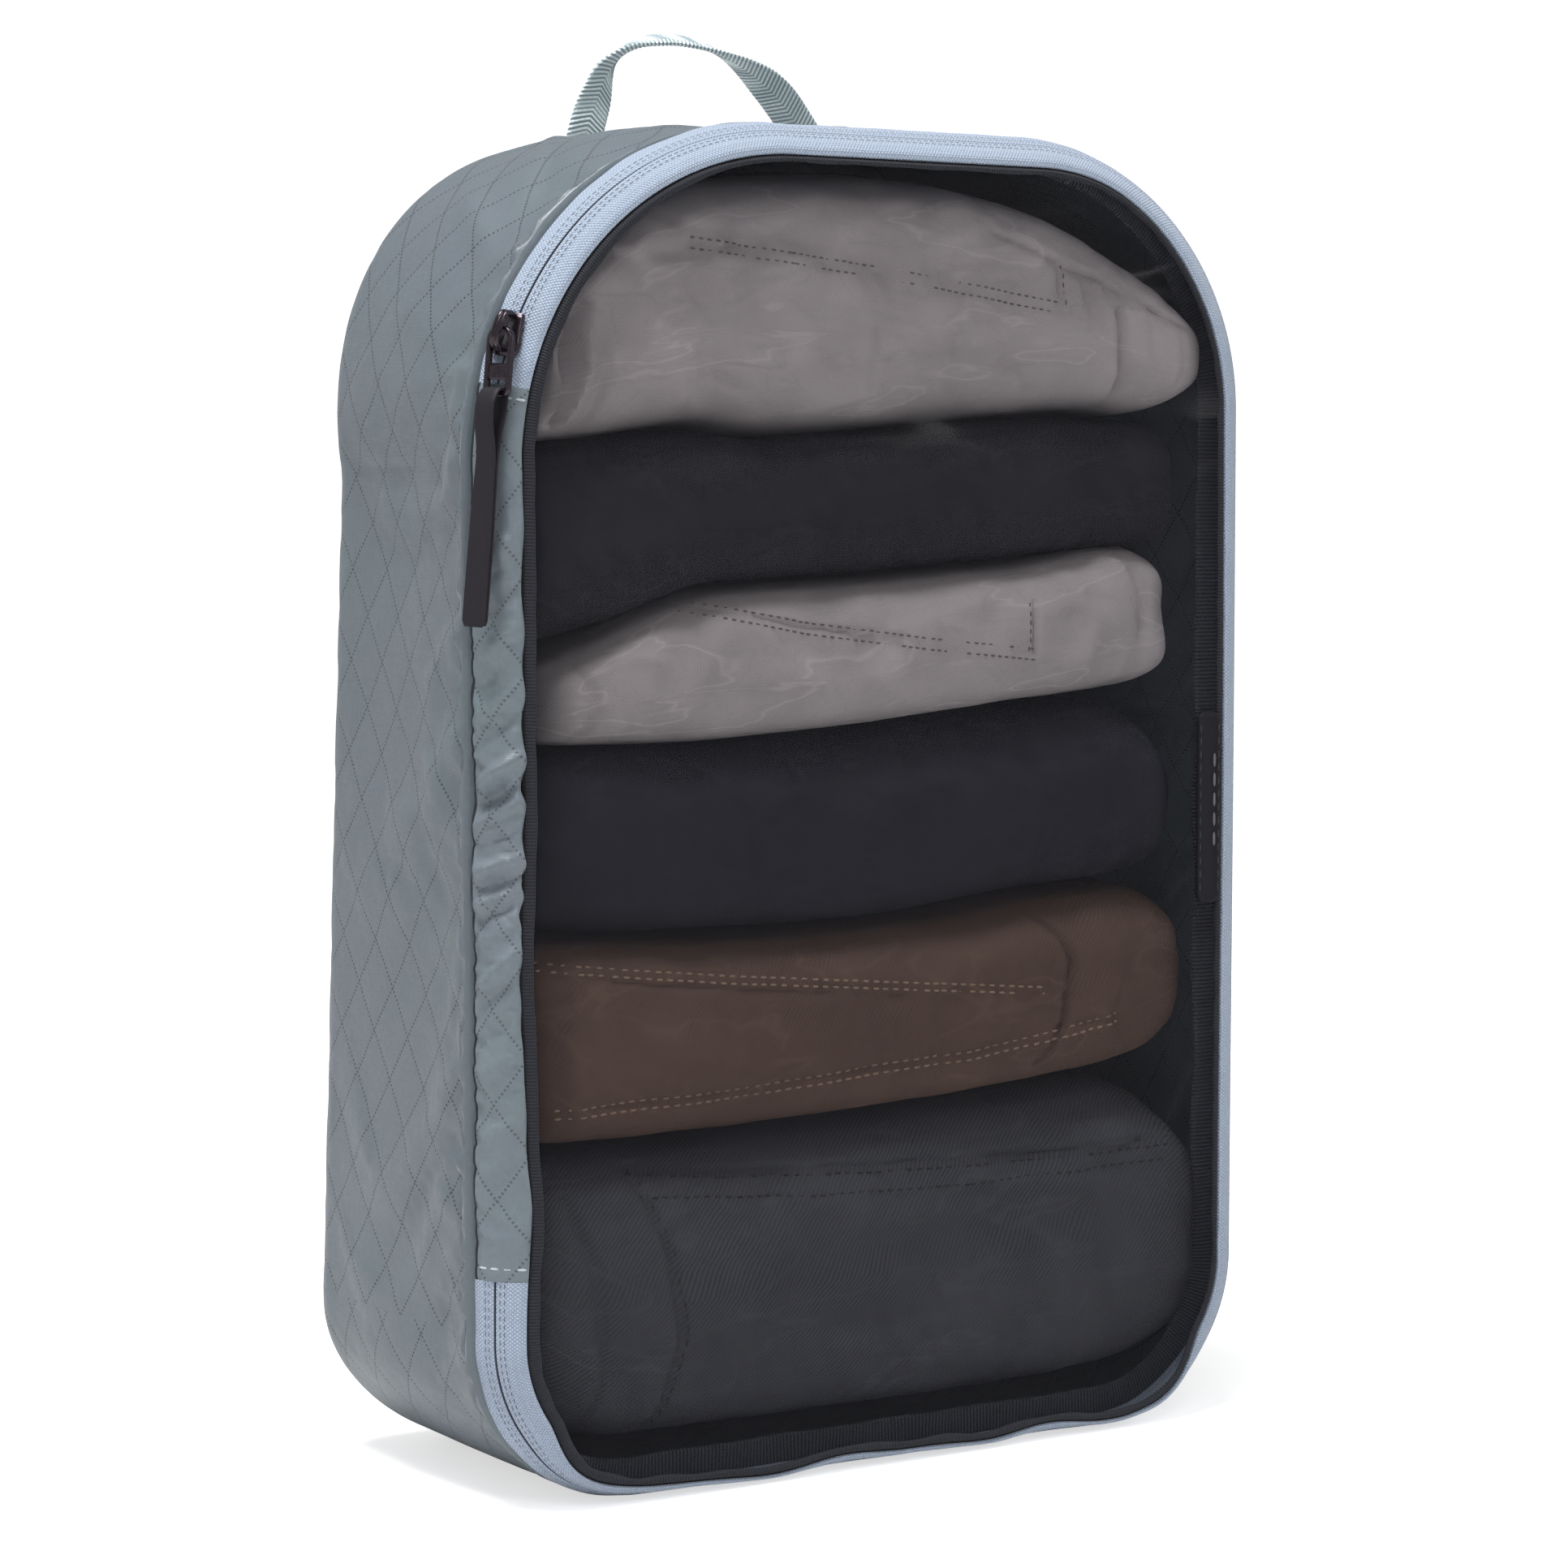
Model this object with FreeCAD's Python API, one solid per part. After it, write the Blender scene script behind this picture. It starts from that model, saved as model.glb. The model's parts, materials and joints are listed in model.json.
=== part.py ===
import FreeCAD, Part
import math
import os

# Soft travel packing cube that stands on end: fabric body, see-through zip-open door, zip round
# the door, folded pull strap and a webbing loop handle sewn into the top of the back seam.
# Frame: origin at the middle of the base on the floor, +X to the right seen from the door,
# +Y towards the back, +Z up. Millimetres.

V = FreeCAD.Vector
Y_AXIS = V(0, 1, 0)

# ---------------------------------------------------------------- driving dimensions
WIDTH = 244.0            # outside width, left to right
HEIGHT = 360.0           # outside height
DEPTH = 104.0            # outside depth, door to back
TOP_LEFT_RADIUS = 90.0   # outline radius of the corner that the closed zip ends on
TOP_RIGHT_RADIUS = 74.0
BOTTOM_RADIUS = 46.0     # both bottom corners

CLOTH = 0.8              # body cloth, laminated
FRONT_SEAM_DEPTH = 14.0  # from the door plane back to the seam between zip and body
BAND_ANGLE = 62.5        # how far the zip band turns from the sides towards the door, degrees
ZIP_ANGLE = 31.3         # where the zip's middle lies on that turn, degrees
BACK_ROUND = 12.0        # radius of the rounded back edge
BACK_SEAM_ANGLE = 45.0   # where the back seam lies on that round, degrees

ZIP_GAP = 1.2            # gap between the two tapes
COIL_RADIUS = 0.7        # zip cord
COIL_OFFSET = 1.35       # cord centre from the zip's middle, along the tape
ZIP_START_ANGLE = 10.8   # on the upper left corner, where the hinge strip ends and the zip starts
STRIP_FOOT = 62.0        # height of the hinge strip's lower end

MESH = 0.6               # door mesh
MESH_INSET = 9.5         # outline inset of the mesh's cut edge, inside the binding
BINDING_INSET = 12.5     # outline inset of the binding's inner edge
BINDING = 1.4            # binding thickness
BINDING_SKIN = 0.4       # each face of the binding

SEAM_TAPE_WIDTH = 8.0    # inner seam bindings, how far they stand into the bag
SEAM_TAPE = 1.6          # and their thickness

SLIDER_ANGLE = 21.8      # slider at the closed end, on the upper left corner
SLIDER_LENGTH = 11.7
SLIDER_WIDTH = 8.0
WING = 1.0               # thickness of each slider wing
OUTER_WING_LIFT = 0.35   # underside of the outer wing above the tape
INNER_WING_DROP = 2.6    # face of the inner wing below the tape's outer face
NECK = 0.6               # neck between the wings, across the zip
NECK_LENGTH = 3.0
BRIDGE_LENGTH = 9.6
BRIDGE_WIDTH = 2.6
BRIDGE_CLEAR = 6.2       # underside of the bridge above the tape
BRIDGE_THICK = 1.0

PULL_LIFT = 4.9          # pull pivot above the tape
PULL_LEAN = 5.5          # the hanging pull's lean from upright, against the side, degrees
FRAME_LENGTH = 17.8      # metal pull frame, over its length
FRAME_WIDTH = 8.6
FRAME_BAR = 1.3
FRAME_THICK = 1.4
FRAME_SPLIT = 9.0        # pivot to the middle of the cross bar
TAB_LENGTH = 58.5        # strap below the pull frame's foot bar
TAB_TOP_WIDTH = 5.6
TAB_WIDTH = 7.4
TAB_LAYER = 0.9
TAB_LOOP = 1.0           # inside radius of the strap's loop round the foot bar

HANDLE_WIDTH = 11.0      # webbing
HANDLE_THICK = 1.4
HANDLE_HALF_SPAN = 38.8  # each leg's middle from the bag's middle
HANDLE_RISE = 34.5       # loop height above its fold line
HANDLE_DEPTH = 100.5     # back seam, from the door plane
HANDLE_FOOT = 358.8      # height of the line where the legs fold
HANDLE_GAP = 1.0         # from the sewn-in ends up to the fold line
HANDLE_SEWN = 9.0        # length of webbing sewn in, below the fold line

LABEL_WIDTH = 8.6        # soft patch at the right side of the door, against the zip tape
LABEL_HEIGHT = 54.0
LABEL_THICK = 1.2
LABEL_RIM = 1.2
LABEL_LEFT = 104.6
LABEL_FOOT = 147.5

# ---------------------------------------------------------------- derived places
HALF = WIDTH / 2
BAND_RADIUS = FRONT_SEAM_DEPTH / math.sin(math.radians(BAND_ANGLE))
TOP_LEFT_CENTRE = V(TOP_LEFT_RADIUS - HALF, 0, HEIGHT - TOP_LEFT_RADIUS)
TOP_RIGHT_CENTRE = V(HALF - TOP_RIGHT_RADIUS, 0, HEIGHT - TOP_RIGHT_RADIUS)
BOTTOM_CENTRE = V(HALF - BOTTOM_RADIUS, 0, BOTTOM_RADIUS)


def y_at(depth):
    """Y of a depth measured from the door plane."""
    return depth - DEPTH / 2


# ---------------------------------------------------------------- the outline, as runs
# A run is a stretch of the outline. It says where a cross-section (inset, depth) goes at its
# start, and how to sweep it.
class Line:
    def __init__(self, start, end, inward):
        self.start, self.end, self.inward = start, end, inward

    def place(self, inset, depth):
        return V(self.start.x, y_at(depth), self.start.z) + self.inward * inset

    def sweep(self, face):
        return face.extrude(self.end - self.start)


class Corner:
    """Turns clockwise seen from the door, as the zip does on its way round."""

    def __init__(self, centre, radius, start, sweep):
        self.centre, self.radius, self.start, self.turn = centre, radius, start, sweep

    def place(self, inset, depth):
        angle = math.radians(self.start)
        out = V(math.cos(angle), 0, math.sin(angle))
        return V(self.centre.x, y_at(depth), self.centre.z) + out * (self.radius - inset)

    def sweep(self, face):
        return face.revolve(self.centre, Y_AXIS, self.turn)


def left_side(low, high):
    return Line(V(-HALF, 0, low), V(-HALF, 0, high), V(1, 0, 0))


def top_left(start, sweep):
    return Corner(TOP_LEFT_CENTRE, TOP_LEFT_RADIUS, 180 - start, sweep)


def rest_of_outline():
    """Top edge, right side, bottom edge and the three corners between them."""
    start, end = TOP_LEFT_CENTRE.x, TOP_RIGHT_CENTRE.x
    bx, bz = BOTTOM_CENTRE.x, BOTTOM_CENTRE.z
    low_left = V(-bx, 0, bz)
    return [
        Line(V(start, 0, HEIGHT), V(end, 0, HEIGHT), V(0, 0, -1)),
        Corner(TOP_RIGHT_CENTRE, TOP_RIGHT_RADIUS, 90, 90),
        Line(V(HALF, 0, TOP_RIGHT_CENTRE.z), V(HALF, 0, bz), V(-1, 0, 0)),
        Corner(BOTTOM_CENTRE, BOTTOM_RADIUS, 0, 90),
        Line(V(bx, 0, 0), V(-bx, 0, 0), V(0, 0, 1)),
        Corner(low_left, BOTTOM_RADIUS, -90, 90),
    ]


def whole_outline():
    left = left_side(BOTTOM_CENTRE.z, TOP_LEFT_CENTRE.z)
    return [left, top_left(0, 90)] + rest_of_outline()


def zip_outline(start_angle, foot):
    """From the hinge strip's upper end, over the top and round to its lower end."""
    runs = [top_left(start_angle, 90 - start_angle)] + rest_of_outline()
    return runs + [left_side(BOTTOM_CENTRE.z, foot)]


def strip_outline():
    return [left_side(STRIP_FOOT, TOP_LEFT_CENTRE.z), top_left(0, ZIP_START_ANGLE)]


def swept(section, runs):
    """One solid: the section swept along every run. section(place) returns a face."""
    pieces = [run.sweep(section(run.place)) for run in runs]
    if len(pieces) == 1:
        return pieces[0]
    return pieces[0].fuse(pieces[1:]).removeSplitter()


# ---------------------------------------------------------------- cross-sections
def band_point(angle, inside=0.0):
    """(inset, depth) on the zip band's arc, `inside` millimetres in from its outer face."""
    turn = math.radians(angle)
    reach = BAND_RADIUS - inside
    return BAND_RADIUS - reach * math.cos(turn), FRONT_SEAM_DEPTH - reach * math.sin(turn)


def round_point(angle, inside=0.0):
    """(inset, depth) on the rounded back edge."""
    turn = math.radians(angle)
    reach = BACK_ROUND - inside
    return BACK_ROUND - reach * math.cos(turn), DEPTH - BACK_ROUND + reach * math.sin(turn)


def arc(place, point, start, end, inside):
    middle = (start + end) / 2
    ends = [place(*point(angle, inside)) for angle in (start, middle, end)]
    return Part.Arc(*ends).toShape()


def line(place, start, end):
    return Part.LineSegment(place(*start), place(*end)).toShape()


def curved_sheet(point, start, end, inner, outer=0.0):
    """Section of a sheet that follows one of the two arcs."""

    def section(place):
        edges = [
            arc(place, point, start, end, outer),
            line(place, point(end, outer), point(end, inner)),
            arc(place, point, end, start, inner),
            line(place, point(start, inner), point(start, outer)),
        ]
        return Part.Face(Part.Wire(edges))

    return section


def polygon(points):
    def section(place):
        corners = [place(*p) for p in points]
        return Part.Face(Part.makePolygon(corners + corners[:1]))

    return section


def gusset_section(place):
    """Flat side from the front seam to the round, then the round to the back seam."""
    start = DEPTH - BACK_ROUND
    edges = [
        line(place, (0, FRONT_SEAM_DEPTH), (0, start)),
        arc(place, round_point, 0, BACK_SEAM_ANGLE, 0),
        line(place, round_point(BACK_SEAM_ANGLE), round_point(BACK_SEAM_ANGLE, CLOTH)),
        arc(place, round_point, BACK_SEAM_ANGLE, 0, CLOTH),
        line(place, (CLOTH, start), (CLOTH, FRONT_SEAM_DEPTH)),
        line(place, (CLOTH, FRONT_SEAM_DEPTH), (0, FRONT_SEAM_DEPTH)),
    ]
    return Part.Face(Part.Wire(edges))


def back_seam_tape_section(place):
    """A bound seam allowance that stands into the bag from the back seam."""
    half_turn = math.degrees(SEAM_TAPE / 2 / (BACK_ROUND - CLOTH))
    low, high = BACK_SEAM_ANGLE - half_turn, BACK_SEAM_ANGLE + half_turn
    root_low, root_high = round_point(low, CLOTH), round_point(high, CLOTH)
    reach = SEAM_TAPE_WIDTH / math.sqrt(2)
    tip_low = (root_low[0] + reach, root_low[1] - reach)
    tip_high = (root_high[0] + reach, root_high[1] - reach)
    edges = [
        arc(place, round_point, low, high, CLOTH),
        line(place, root_high, tip_high),
        line(place, tip_high, tip_low),
        line(place, tip_low, root_low),
    ]
    return Part.Face(Part.Wire(edges))


def cord_section(side):
    """Zip cord inside the tape; side is -1 for the body's half and 1 for the door's half."""
    turn = math.degrees(COIL_OFFSET / BAND_RADIUS)
    centre = band_point(ZIP_ANGLE + side * turn, CLOTH + COIL_RADIUS)

    def section(place):
        middle = place(*centre)
        across = place(centre[0] + 1, centre[1]) - middle
        along = place(centre[0], centre[1] + 1) - middle
        circle = Part.Circle(middle, across.cross(along), COIL_RADIUS)
        return Part.Face(Part.Wire(circle.toShape()))

    return section


def plate(inset, near, far):
    """Flat sheet inside the outline, from depth `near` to depth `far`."""
    edges = []
    for run in whole_outline():
        start = run.place(inset, near)
        if isinstance(run, Line):
            end = start + run.end - run.start
            edges.append(Part.LineSegment(start, end).toShape())
            continue
        middle = Corner(run.centre, run.radius, run.start - run.turn / 2, 0)
        end = Corner(run.centre, run.radius, run.start - run.turn, 0)
        points = [start, middle.place(inset, near), end.place(inset, near)]
        edges.append(Part.Arc(*points).toShape())
    face = Part.Face(Part.Wire(Part.__sortEdges__(edges)))
    return face.extrude(V(0, far - near, 0))


# ---------------------------------------------------------------- body cloth
def handle_slot(clearance):
    """Room for the two sewn-in webbing ends."""
    half = HANDLE_WIDTH / 2 + clearance
    deep = HANDLE_THICK + 2 * clearance
    low, high = HANDLE_FOOT - HANDLE_SEWN, HANDLE_FOOT - HANDLE_GAP
    slots = []
    for x in (-HANDLE_HALF_SPAN, HANDLE_HALF_SPAN):
        corner = V(x - half, y_at(HANDLE_DEPTH) - deep / 2, low - clearance)
        slots.append(Part.makeBox(2 * half, deep, high - low + 2 * clearance, corner))
    return Part.makeCompound(slots)


def gusset_panel():
    return swept(gusset_section, whole_outline()).cut(handle_slot(0.05))


def back_panel():
    rim = swept(curved_sheet(round_point, BACK_SEAM_ANGLE, 90, CLOTH), whole_outline())
    flat = plate(BACK_ROUND, DEPTH - CLOTH, DEPTH)
    return rim.fuse(flat).removeSplitter().cut(handle_slot(0.05))


def back_seam_binding():
    return swept(back_seam_tape_section, whole_outline()).cut(handle_slot(0.05))


def front_seam_binding():
    near, far = FRONT_SEAM_DEPTH, FRONT_SEAM_DEPTH + SEAM_TAPE
    tip = CLOTH + SEAM_TAPE_WIDTH
    section = polygon([(CLOTH, near), (tip, near), (tip, far), (CLOTH, far)])
    return swept(section, whole_outline())


def hinge_strip():
    section = curved_sheet(band_point, 0, BAND_ANGLE, CLOTH)
    return swept(section, strip_outline())


def strip_end_stitches():
    """A row of thread stitches across each end of the hinge strip."""
    thread, width, count, length = 0.35, 0.7, 5, 7.0
    hem = 5.0
    pitch = BAND_ANGLE / count
    turn = math.degrees(1 / TOP_LEFT_RADIUS)
    rows = [
        [left_side(STRIP_FOOT + hem, STRIP_FOOT + hem + width)],
        [top_left(ZIP_START_ANGLE - hem * turn, width * turn)],
    ]
    stitches = []
    for row in rows:
        for i in range(count):
            start = (i + 0.5) * pitch - length / 2
            section = curved_sheet(band_point, start, start + length, 0, -thread)
            stitches.append(swept(section, row))
    return Part.makeCompound(stitches)


# ---------------------------------------------------------------- zip
def zipper_tape_rear():
    gap = math.degrees(ZIP_GAP / 2 / BAND_RADIUS)
    section = curved_sheet(band_point, 0, ZIP_ANGLE - gap, CLOTH)
    return swept(section, zip_outline(ZIP_START_ANGLE, STRIP_FOOT))


def zipper_tape_front():
    gap = math.degrees(ZIP_GAP / 2 / BAND_RADIUS)
    section = curved_sheet(band_point, ZIP_ANGLE + gap, BAND_ANGLE, CLOTH)
    return swept(section, zip_outline(ZIP_START_ANGLE, STRIP_FOOT))


def zip_cord(side):
    start, foot = ZIP_START_ANGLE + 2.2, STRIP_FOOT - 4.0
    return swept(cord_section(side), zip_outline(start, foot))


def zip_stop(runs):
    """Sewn block inside the tape that ends the zip's travel."""
    spread = math.degrees((COIL_OFFSET + COIL_RADIUS) / BAND_RADIUS)
    low, high = ZIP_ANGLE - spread, ZIP_ANGLE + spread
    section = curved_sheet(band_point, low, high, CLOTH + 2 * COIL_RADIUS, CLOTH)
    return swept(section, runs)


def zipper_top_stop():
    return zip_stop([top_left(ZIP_START_ANGLE + 0.4, 1.5)])


def zipper_bottom_stop():
    return zip_stop([left_side(STRIP_FOOT - 3.6, STRIP_FOOT - 1.2)])


# ---------------------------------------------------------------- slider
def zip_axes(corner_angle):
    """(along the zip, across it, out of the bag) at an angle on the upper left corner."""
    out_angle = math.radians(180 - corner_angle)
    radial = V(math.cos(out_angle), 0, math.sin(out_angle))
    front = V(0, -1, 0)
    turn = math.radians(ZIP_ANGLE)
    out = radial * math.cos(turn) + front * math.sin(turn)
    across = front * math.cos(turn) - radial * math.sin(turn)
    return across.cross(out), across, out


class SliderFrame:
    """Local axes at the slider, with their origin on the zip's middle."""

    def __init__(self):
        inset, depth = band_point(ZIP_ANGLE)
        self.origin = top_left(SLIDER_ANGLE, 0).place(inset, depth)
        self.along, self.across, self.out = zip_axes(SLIDER_ANGLE)

    def point(self, along, across, out):
        return self.origin + self.along * along + self.across * across + self.out * out

    def block(self, length, width, low, high, shift=0.0):
        """Box centred on the zip, from `low` to `high` out of the tape's outer face."""
        ends = shift - length / 2, shift + length / 2
        half = width / 2
        outline = [(ends[0], -half), (ends[1], -half), (ends[1], half), (ends[0], half)]
        return self.plate(outline, low, high)

    def plate(self, outline, low, high):
        """Flat piece with the given (along, across) corners."""
        corners = [self.point(along, across, low) for along, across in outline]
        face = Part.Face(Part.makePolygon(corners + corners[:1]))
        return face.extrude(self.out * (high - low))


def slider_body():
    """Two waisted wings, one on each side of the tape, joined by a neck in the zip's gap."""
    here = SliderFrame()
    end, shoulder = SLIDER_LENGTH / 2, SLIDER_LENGTH * 0.15
    wide = SLIDER_WIDTH / 2
    nose, tail = wide * 0.8, wide * 0.62
    outline = [(end, -nose), (end, nose), (shoulder, wide), (-end, tail), (-end, -tail),
               (shoulder, -wide)]
    bite = WING / 5
    outer = here.plate(outline, OUTER_WING_LIFT, OUTER_WING_LIFT + WING)
    inner = here.plate(outline, -INNER_WING_DROP - WING, -INNER_WING_DROP)
    neck = here.block(NECK_LENGTH, NECK, -INNER_WING_DROP - bite, OUTER_WING_LIFT + bite,
                      shift=SLIDER_LENGTH / 4)
    return outer.fuse([inner, neck]).removeSplitter()


def slider_bridge():
    """Arch on the outer wing that holds the pull."""
    here = SliderFrame()
    base, top = OUTER_WING_LIFT + WING, BRIDGE_CLEAR + BRIDGE_THICK
    arch = here.block(BRIDGE_LENGTH, BRIDGE_WIDTH, base, top)
    window = here.block(BRIDGE_LENGTH - 2.2, BRIDGE_WIDTH + 2, base, BRIDGE_CLEAR)
    return arch.cut(window)


def slider_lock_spring():
    """Thin leaf on the outer wing, under the bridge."""
    here = SliderFrame()
    base = OUTER_WING_LIFT + WING
    return here.block(BRIDGE_LENGTH - 3.4, 1.2, base, base + 0.3)


# ---------------------------------------------------------------- pull
class PullFrame:
    """Axes of the hanging pull: down, across and out of the strip that it hangs against."""

    def __init__(self):
        self.down, self.across, self.out = zip_axes(PULL_LEAN)
        self.origin = SliderFrame().point(0, 0, PULL_LIFT)

    def point(self, down, across, out=0.0):
        return self.origin + self.down * down + self.across * across + self.out * out

    def slab(self, corners, thick):
        """Flat piece with the given (down, across) corners, centred on the pull's plane."""
        points = [self.point(down, across, -thick / 2) for down, across in corners]
        face = Part.Face(Part.makePolygon(points + points[:1]))
        return face.extrude(self.out * thick)


def rectangle(top, foot, half):
    return [(top, -half), (top, half), (foot, half), (foot, -half)]


def pull_frame():
    here = PullFrame()
    top, half = -FRAME_BAR / 2, FRAME_WIDTH / 2
    foot = top + FRAME_LENGTH
    bar = FRAME_BAR / 2
    plate_solid = here.slab(rectangle(top, foot, half), FRAME_THICK)
    edges = [edge for edge in plate_solid.Edges if is_along(edge, here.out)]
    plate_solid = plate_solid.makeFillet(1.2, edges)
    inner = half - FRAME_BAR
    upper = here.slab(rectangle(bar, FRAME_SPLIT - bar, inner), FRAME_THICK * 2)
    lower = here.slab(rectangle(FRAME_SPLIT + bar, foot - FRAME_BAR, inner), FRAME_THICK * 2)
    return plate_solid.cut([upper, lower])


def is_along(edge, direction):
    span = edge.Vertexes[-1].Point - edge.Vertexes[0].Point
    return span.Length > 0 and span.normalize().cross(direction).Length < 1e-6


def pull_tab():
    """Strap folded round the frame's foot bar, its two layers closed together below."""
    here = PullFrame()
    bar = FRAME_LENGTH - FRAME_BAR
    radius = TAB_LOOP + TAB_LAYER
    half = TAB_WIDTH / 2
    corners = [(bar, -TAB_TOP_WIDTH / 2), (bar, TAB_TOP_WIDTH / 2),
               (bar + TAB_LENGTH * 0.6, half), (bar + TAB_LENGTH, half),
               (bar + TAB_LENGTH, -half), (bar + TAB_LENGTH * 0.6, -half)]
    strap = here.slab(corners, 2 * TAB_LAYER)
    edges = [e for e in strap.Edges if is_along(e, here.out) and lowest(e) < foot_height(here)]
    strap = strap.makeFillet(1.6, edges)
    start = here.point(bar, -TAB_TOP_WIDTH / 2)
    ring = Part.makeCylinder(radius, TAB_TOP_WIDTH, start, here.across)
    hole = Part.makeCylinder(TAB_LOOP, TAB_WIDTH * 2, here.point(bar, -TAB_WIDTH), here.across)
    return strap.fuse(ring).removeSplitter().cut(hole)


def foot_height(here):
    return here.point(FRAME_LENGTH - FRAME_BAR + TAB_LENGTH - 0.1, 0).z


def lowest(edge):
    return min(vertex.Z for vertex in edge.Vertexes)


# ---------------------------------------------------------------- door
def mesh_panel():
    near = BINDING_SKIN
    return plate(MESH_INSET, near, near + MESH)


def mesh_edge_binding():
    """Folded round the mesh's cut edge; its outer edge meets the zip tape's edge."""
    turn = math.radians(BAND_ANGLE)
    edge = band_point(BAND_ANGLE)[0]
    slant = BINDING / math.tan(turn)
    near, far = BINDING_SKIN, BINDING_SKIN + MESH
    section = polygon([
        (edge, 0), (BINDING_INSET, 0), (BINDING_INSET, near), (MESH_INSET, near),
        (MESH_INSET, far), (BINDING_INSET, far), (BINDING_INSET, BINDING),
        (edge + slant, BINDING),
    ])
    return swept(section, whole_outline())


def side_label():
    """Soft moulded patch with a raised rim, sewn flat on the door's right side."""
    corner = V(LABEL_LEFT, y_at(-LABEL_THICK), LABEL_FOOT)
    patch = Part.makeBox(LABEL_WIDTH, LABEL_THICK, LABEL_HEIGHT, corner)
    patch = patch.makeFillet(2.5, [e for e in patch.Edges if is_along(e, Y_AXIS)])
    sunk = 0.4
    wide, tall = LABEL_WIDTH - 2 * LABEL_RIM, LABEL_HEIGHT - 2 * LABEL_RIM
    field = Part.makeBox(wide, sunk, tall, corner + V(LABEL_RIM, 0, LABEL_RIM))
    return patch.cut(field)


def label_stitches():
    """Thread stitches on the rim, along both long edges of the patch."""
    count, length, thread, wide = 9, 3.4, 0.3, 0.5
    pitch = (LABEL_HEIGHT - 8) / count
    stitches = []
    for rim_middle in (LABEL_RIM / 2, LABEL_WIDTH - LABEL_RIM / 2):
        for i in range(count):
            x = LABEL_LEFT + rim_middle - wide / 2
            z = LABEL_FOOT + 4 + (i + 0.5) * pitch - length / 2
            corner = V(x, y_at(-LABEL_THICK - thread), z)
            stitches.append(Part.makeBox(wide, thread, length, corner))
    return Part.makeCompound(stitches)


# ---------------------------------------------------------------- handle
def handle_ends():
    return handle_slot(0.0)


def handle_bartacks():
    """Thread bars across the sewn-in webbing ends, on their inner face."""
    wide, tall, thread = 9.0, 0.8, 0.4
    bars = []
    for x in (-HANDLE_HALF_SPAN, HANDLE_HALF_SPAN):
        for z in (HANDLE_FOOT - 8.0, HANDLE_FOOT - 6.4):
            y = y_at(HANDLE_DEPTH) - HANDLE_THICK / 2 - thread
            bars.append(Part.makeBox(wide, thread, tall, V(x - wide / 2, y, z)))
    return Part.makeCompound(bars)


def loop_point(station):
    """(x, z) of the loop's middle line at one station, from -1 (left) to 1 (right)."""
    turn = math.radians(90 * max(-0.999, min(0.999, station)))
    x = HANDLE_HALF_SPAN * math.sin(turn)
    z = HANDLE_FOOT + HANDLE_RISE * math.cos(turn) ** 0.85
    return x, z


def handle_webbing():
    """Loop of webbing that leaves the seam flat and turns edge-on at its crown."""
    steps = 12
    sections = []
    for i in range(steps + 1):
        station = -1 + 2 * i / steps
        x, z = loop_point(station)
        ahead = loop_point(station + 0.02)
        behind = loop_point(station - 0.02)
        along = V(ahead[0] - behind[0], 0, ahead[1] - behind[1]).normalize()
        if i in (0, steps):
            along = V(0, 0, 1 if i == 0 else -1)
        side = along.cross(Y_AXIS).normalize()
        twist = math.radians(90 * math.sin(math.pi * (station + 1) / 2))
        wide = side * math.cos(twist) + Y_AXIS * math.sin(twist)
        thin = along.cross(wide)
        middle = V(x, y_at(HANDLE_DEPTH), z)
        a, b = wide * (HANDLE_WIDTH / 2), thin * (HANDLE_THICK / 2)
        corners = [middle - a - b, middle + a - b, middle + a + b, middle - a + b]
        sections.append(Part.makePolygon(corners + corners[:1]))
    return Part.makeLoft(sections, True, False)


# ---------------------------------------------------------------- write every node
NODES = [
    gusset_panel, back_panel, back_seam_binding, front_seam_binding, hinge_strip,
    strip_end_stitches, zipper_tape_rear, zipper_top_stop, zipper_bottom_stop,
    handle_ends, handle_bartacks,
    zipper_tape_front, mesh_panel, mesh_edge_binding, side_label, label_stitches,
    slider_body, slider_bridge, slider_lock_spring, pull_frame, pull_tab, handle_webbing,
]


def main():
    os.makedirs("parts", exist_ok=True)
    shapes = {build.__name__: build() for build in NODES}
    shapes["zipper_coil_rear"] = zip_cord(-1)
    shapes["zipper_coil_front"] = zip_cord(1)
    for name, shape in shapes.items():
        shape.exportStep(f"parts/{name}.step")


main()
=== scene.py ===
import json
import math

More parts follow.
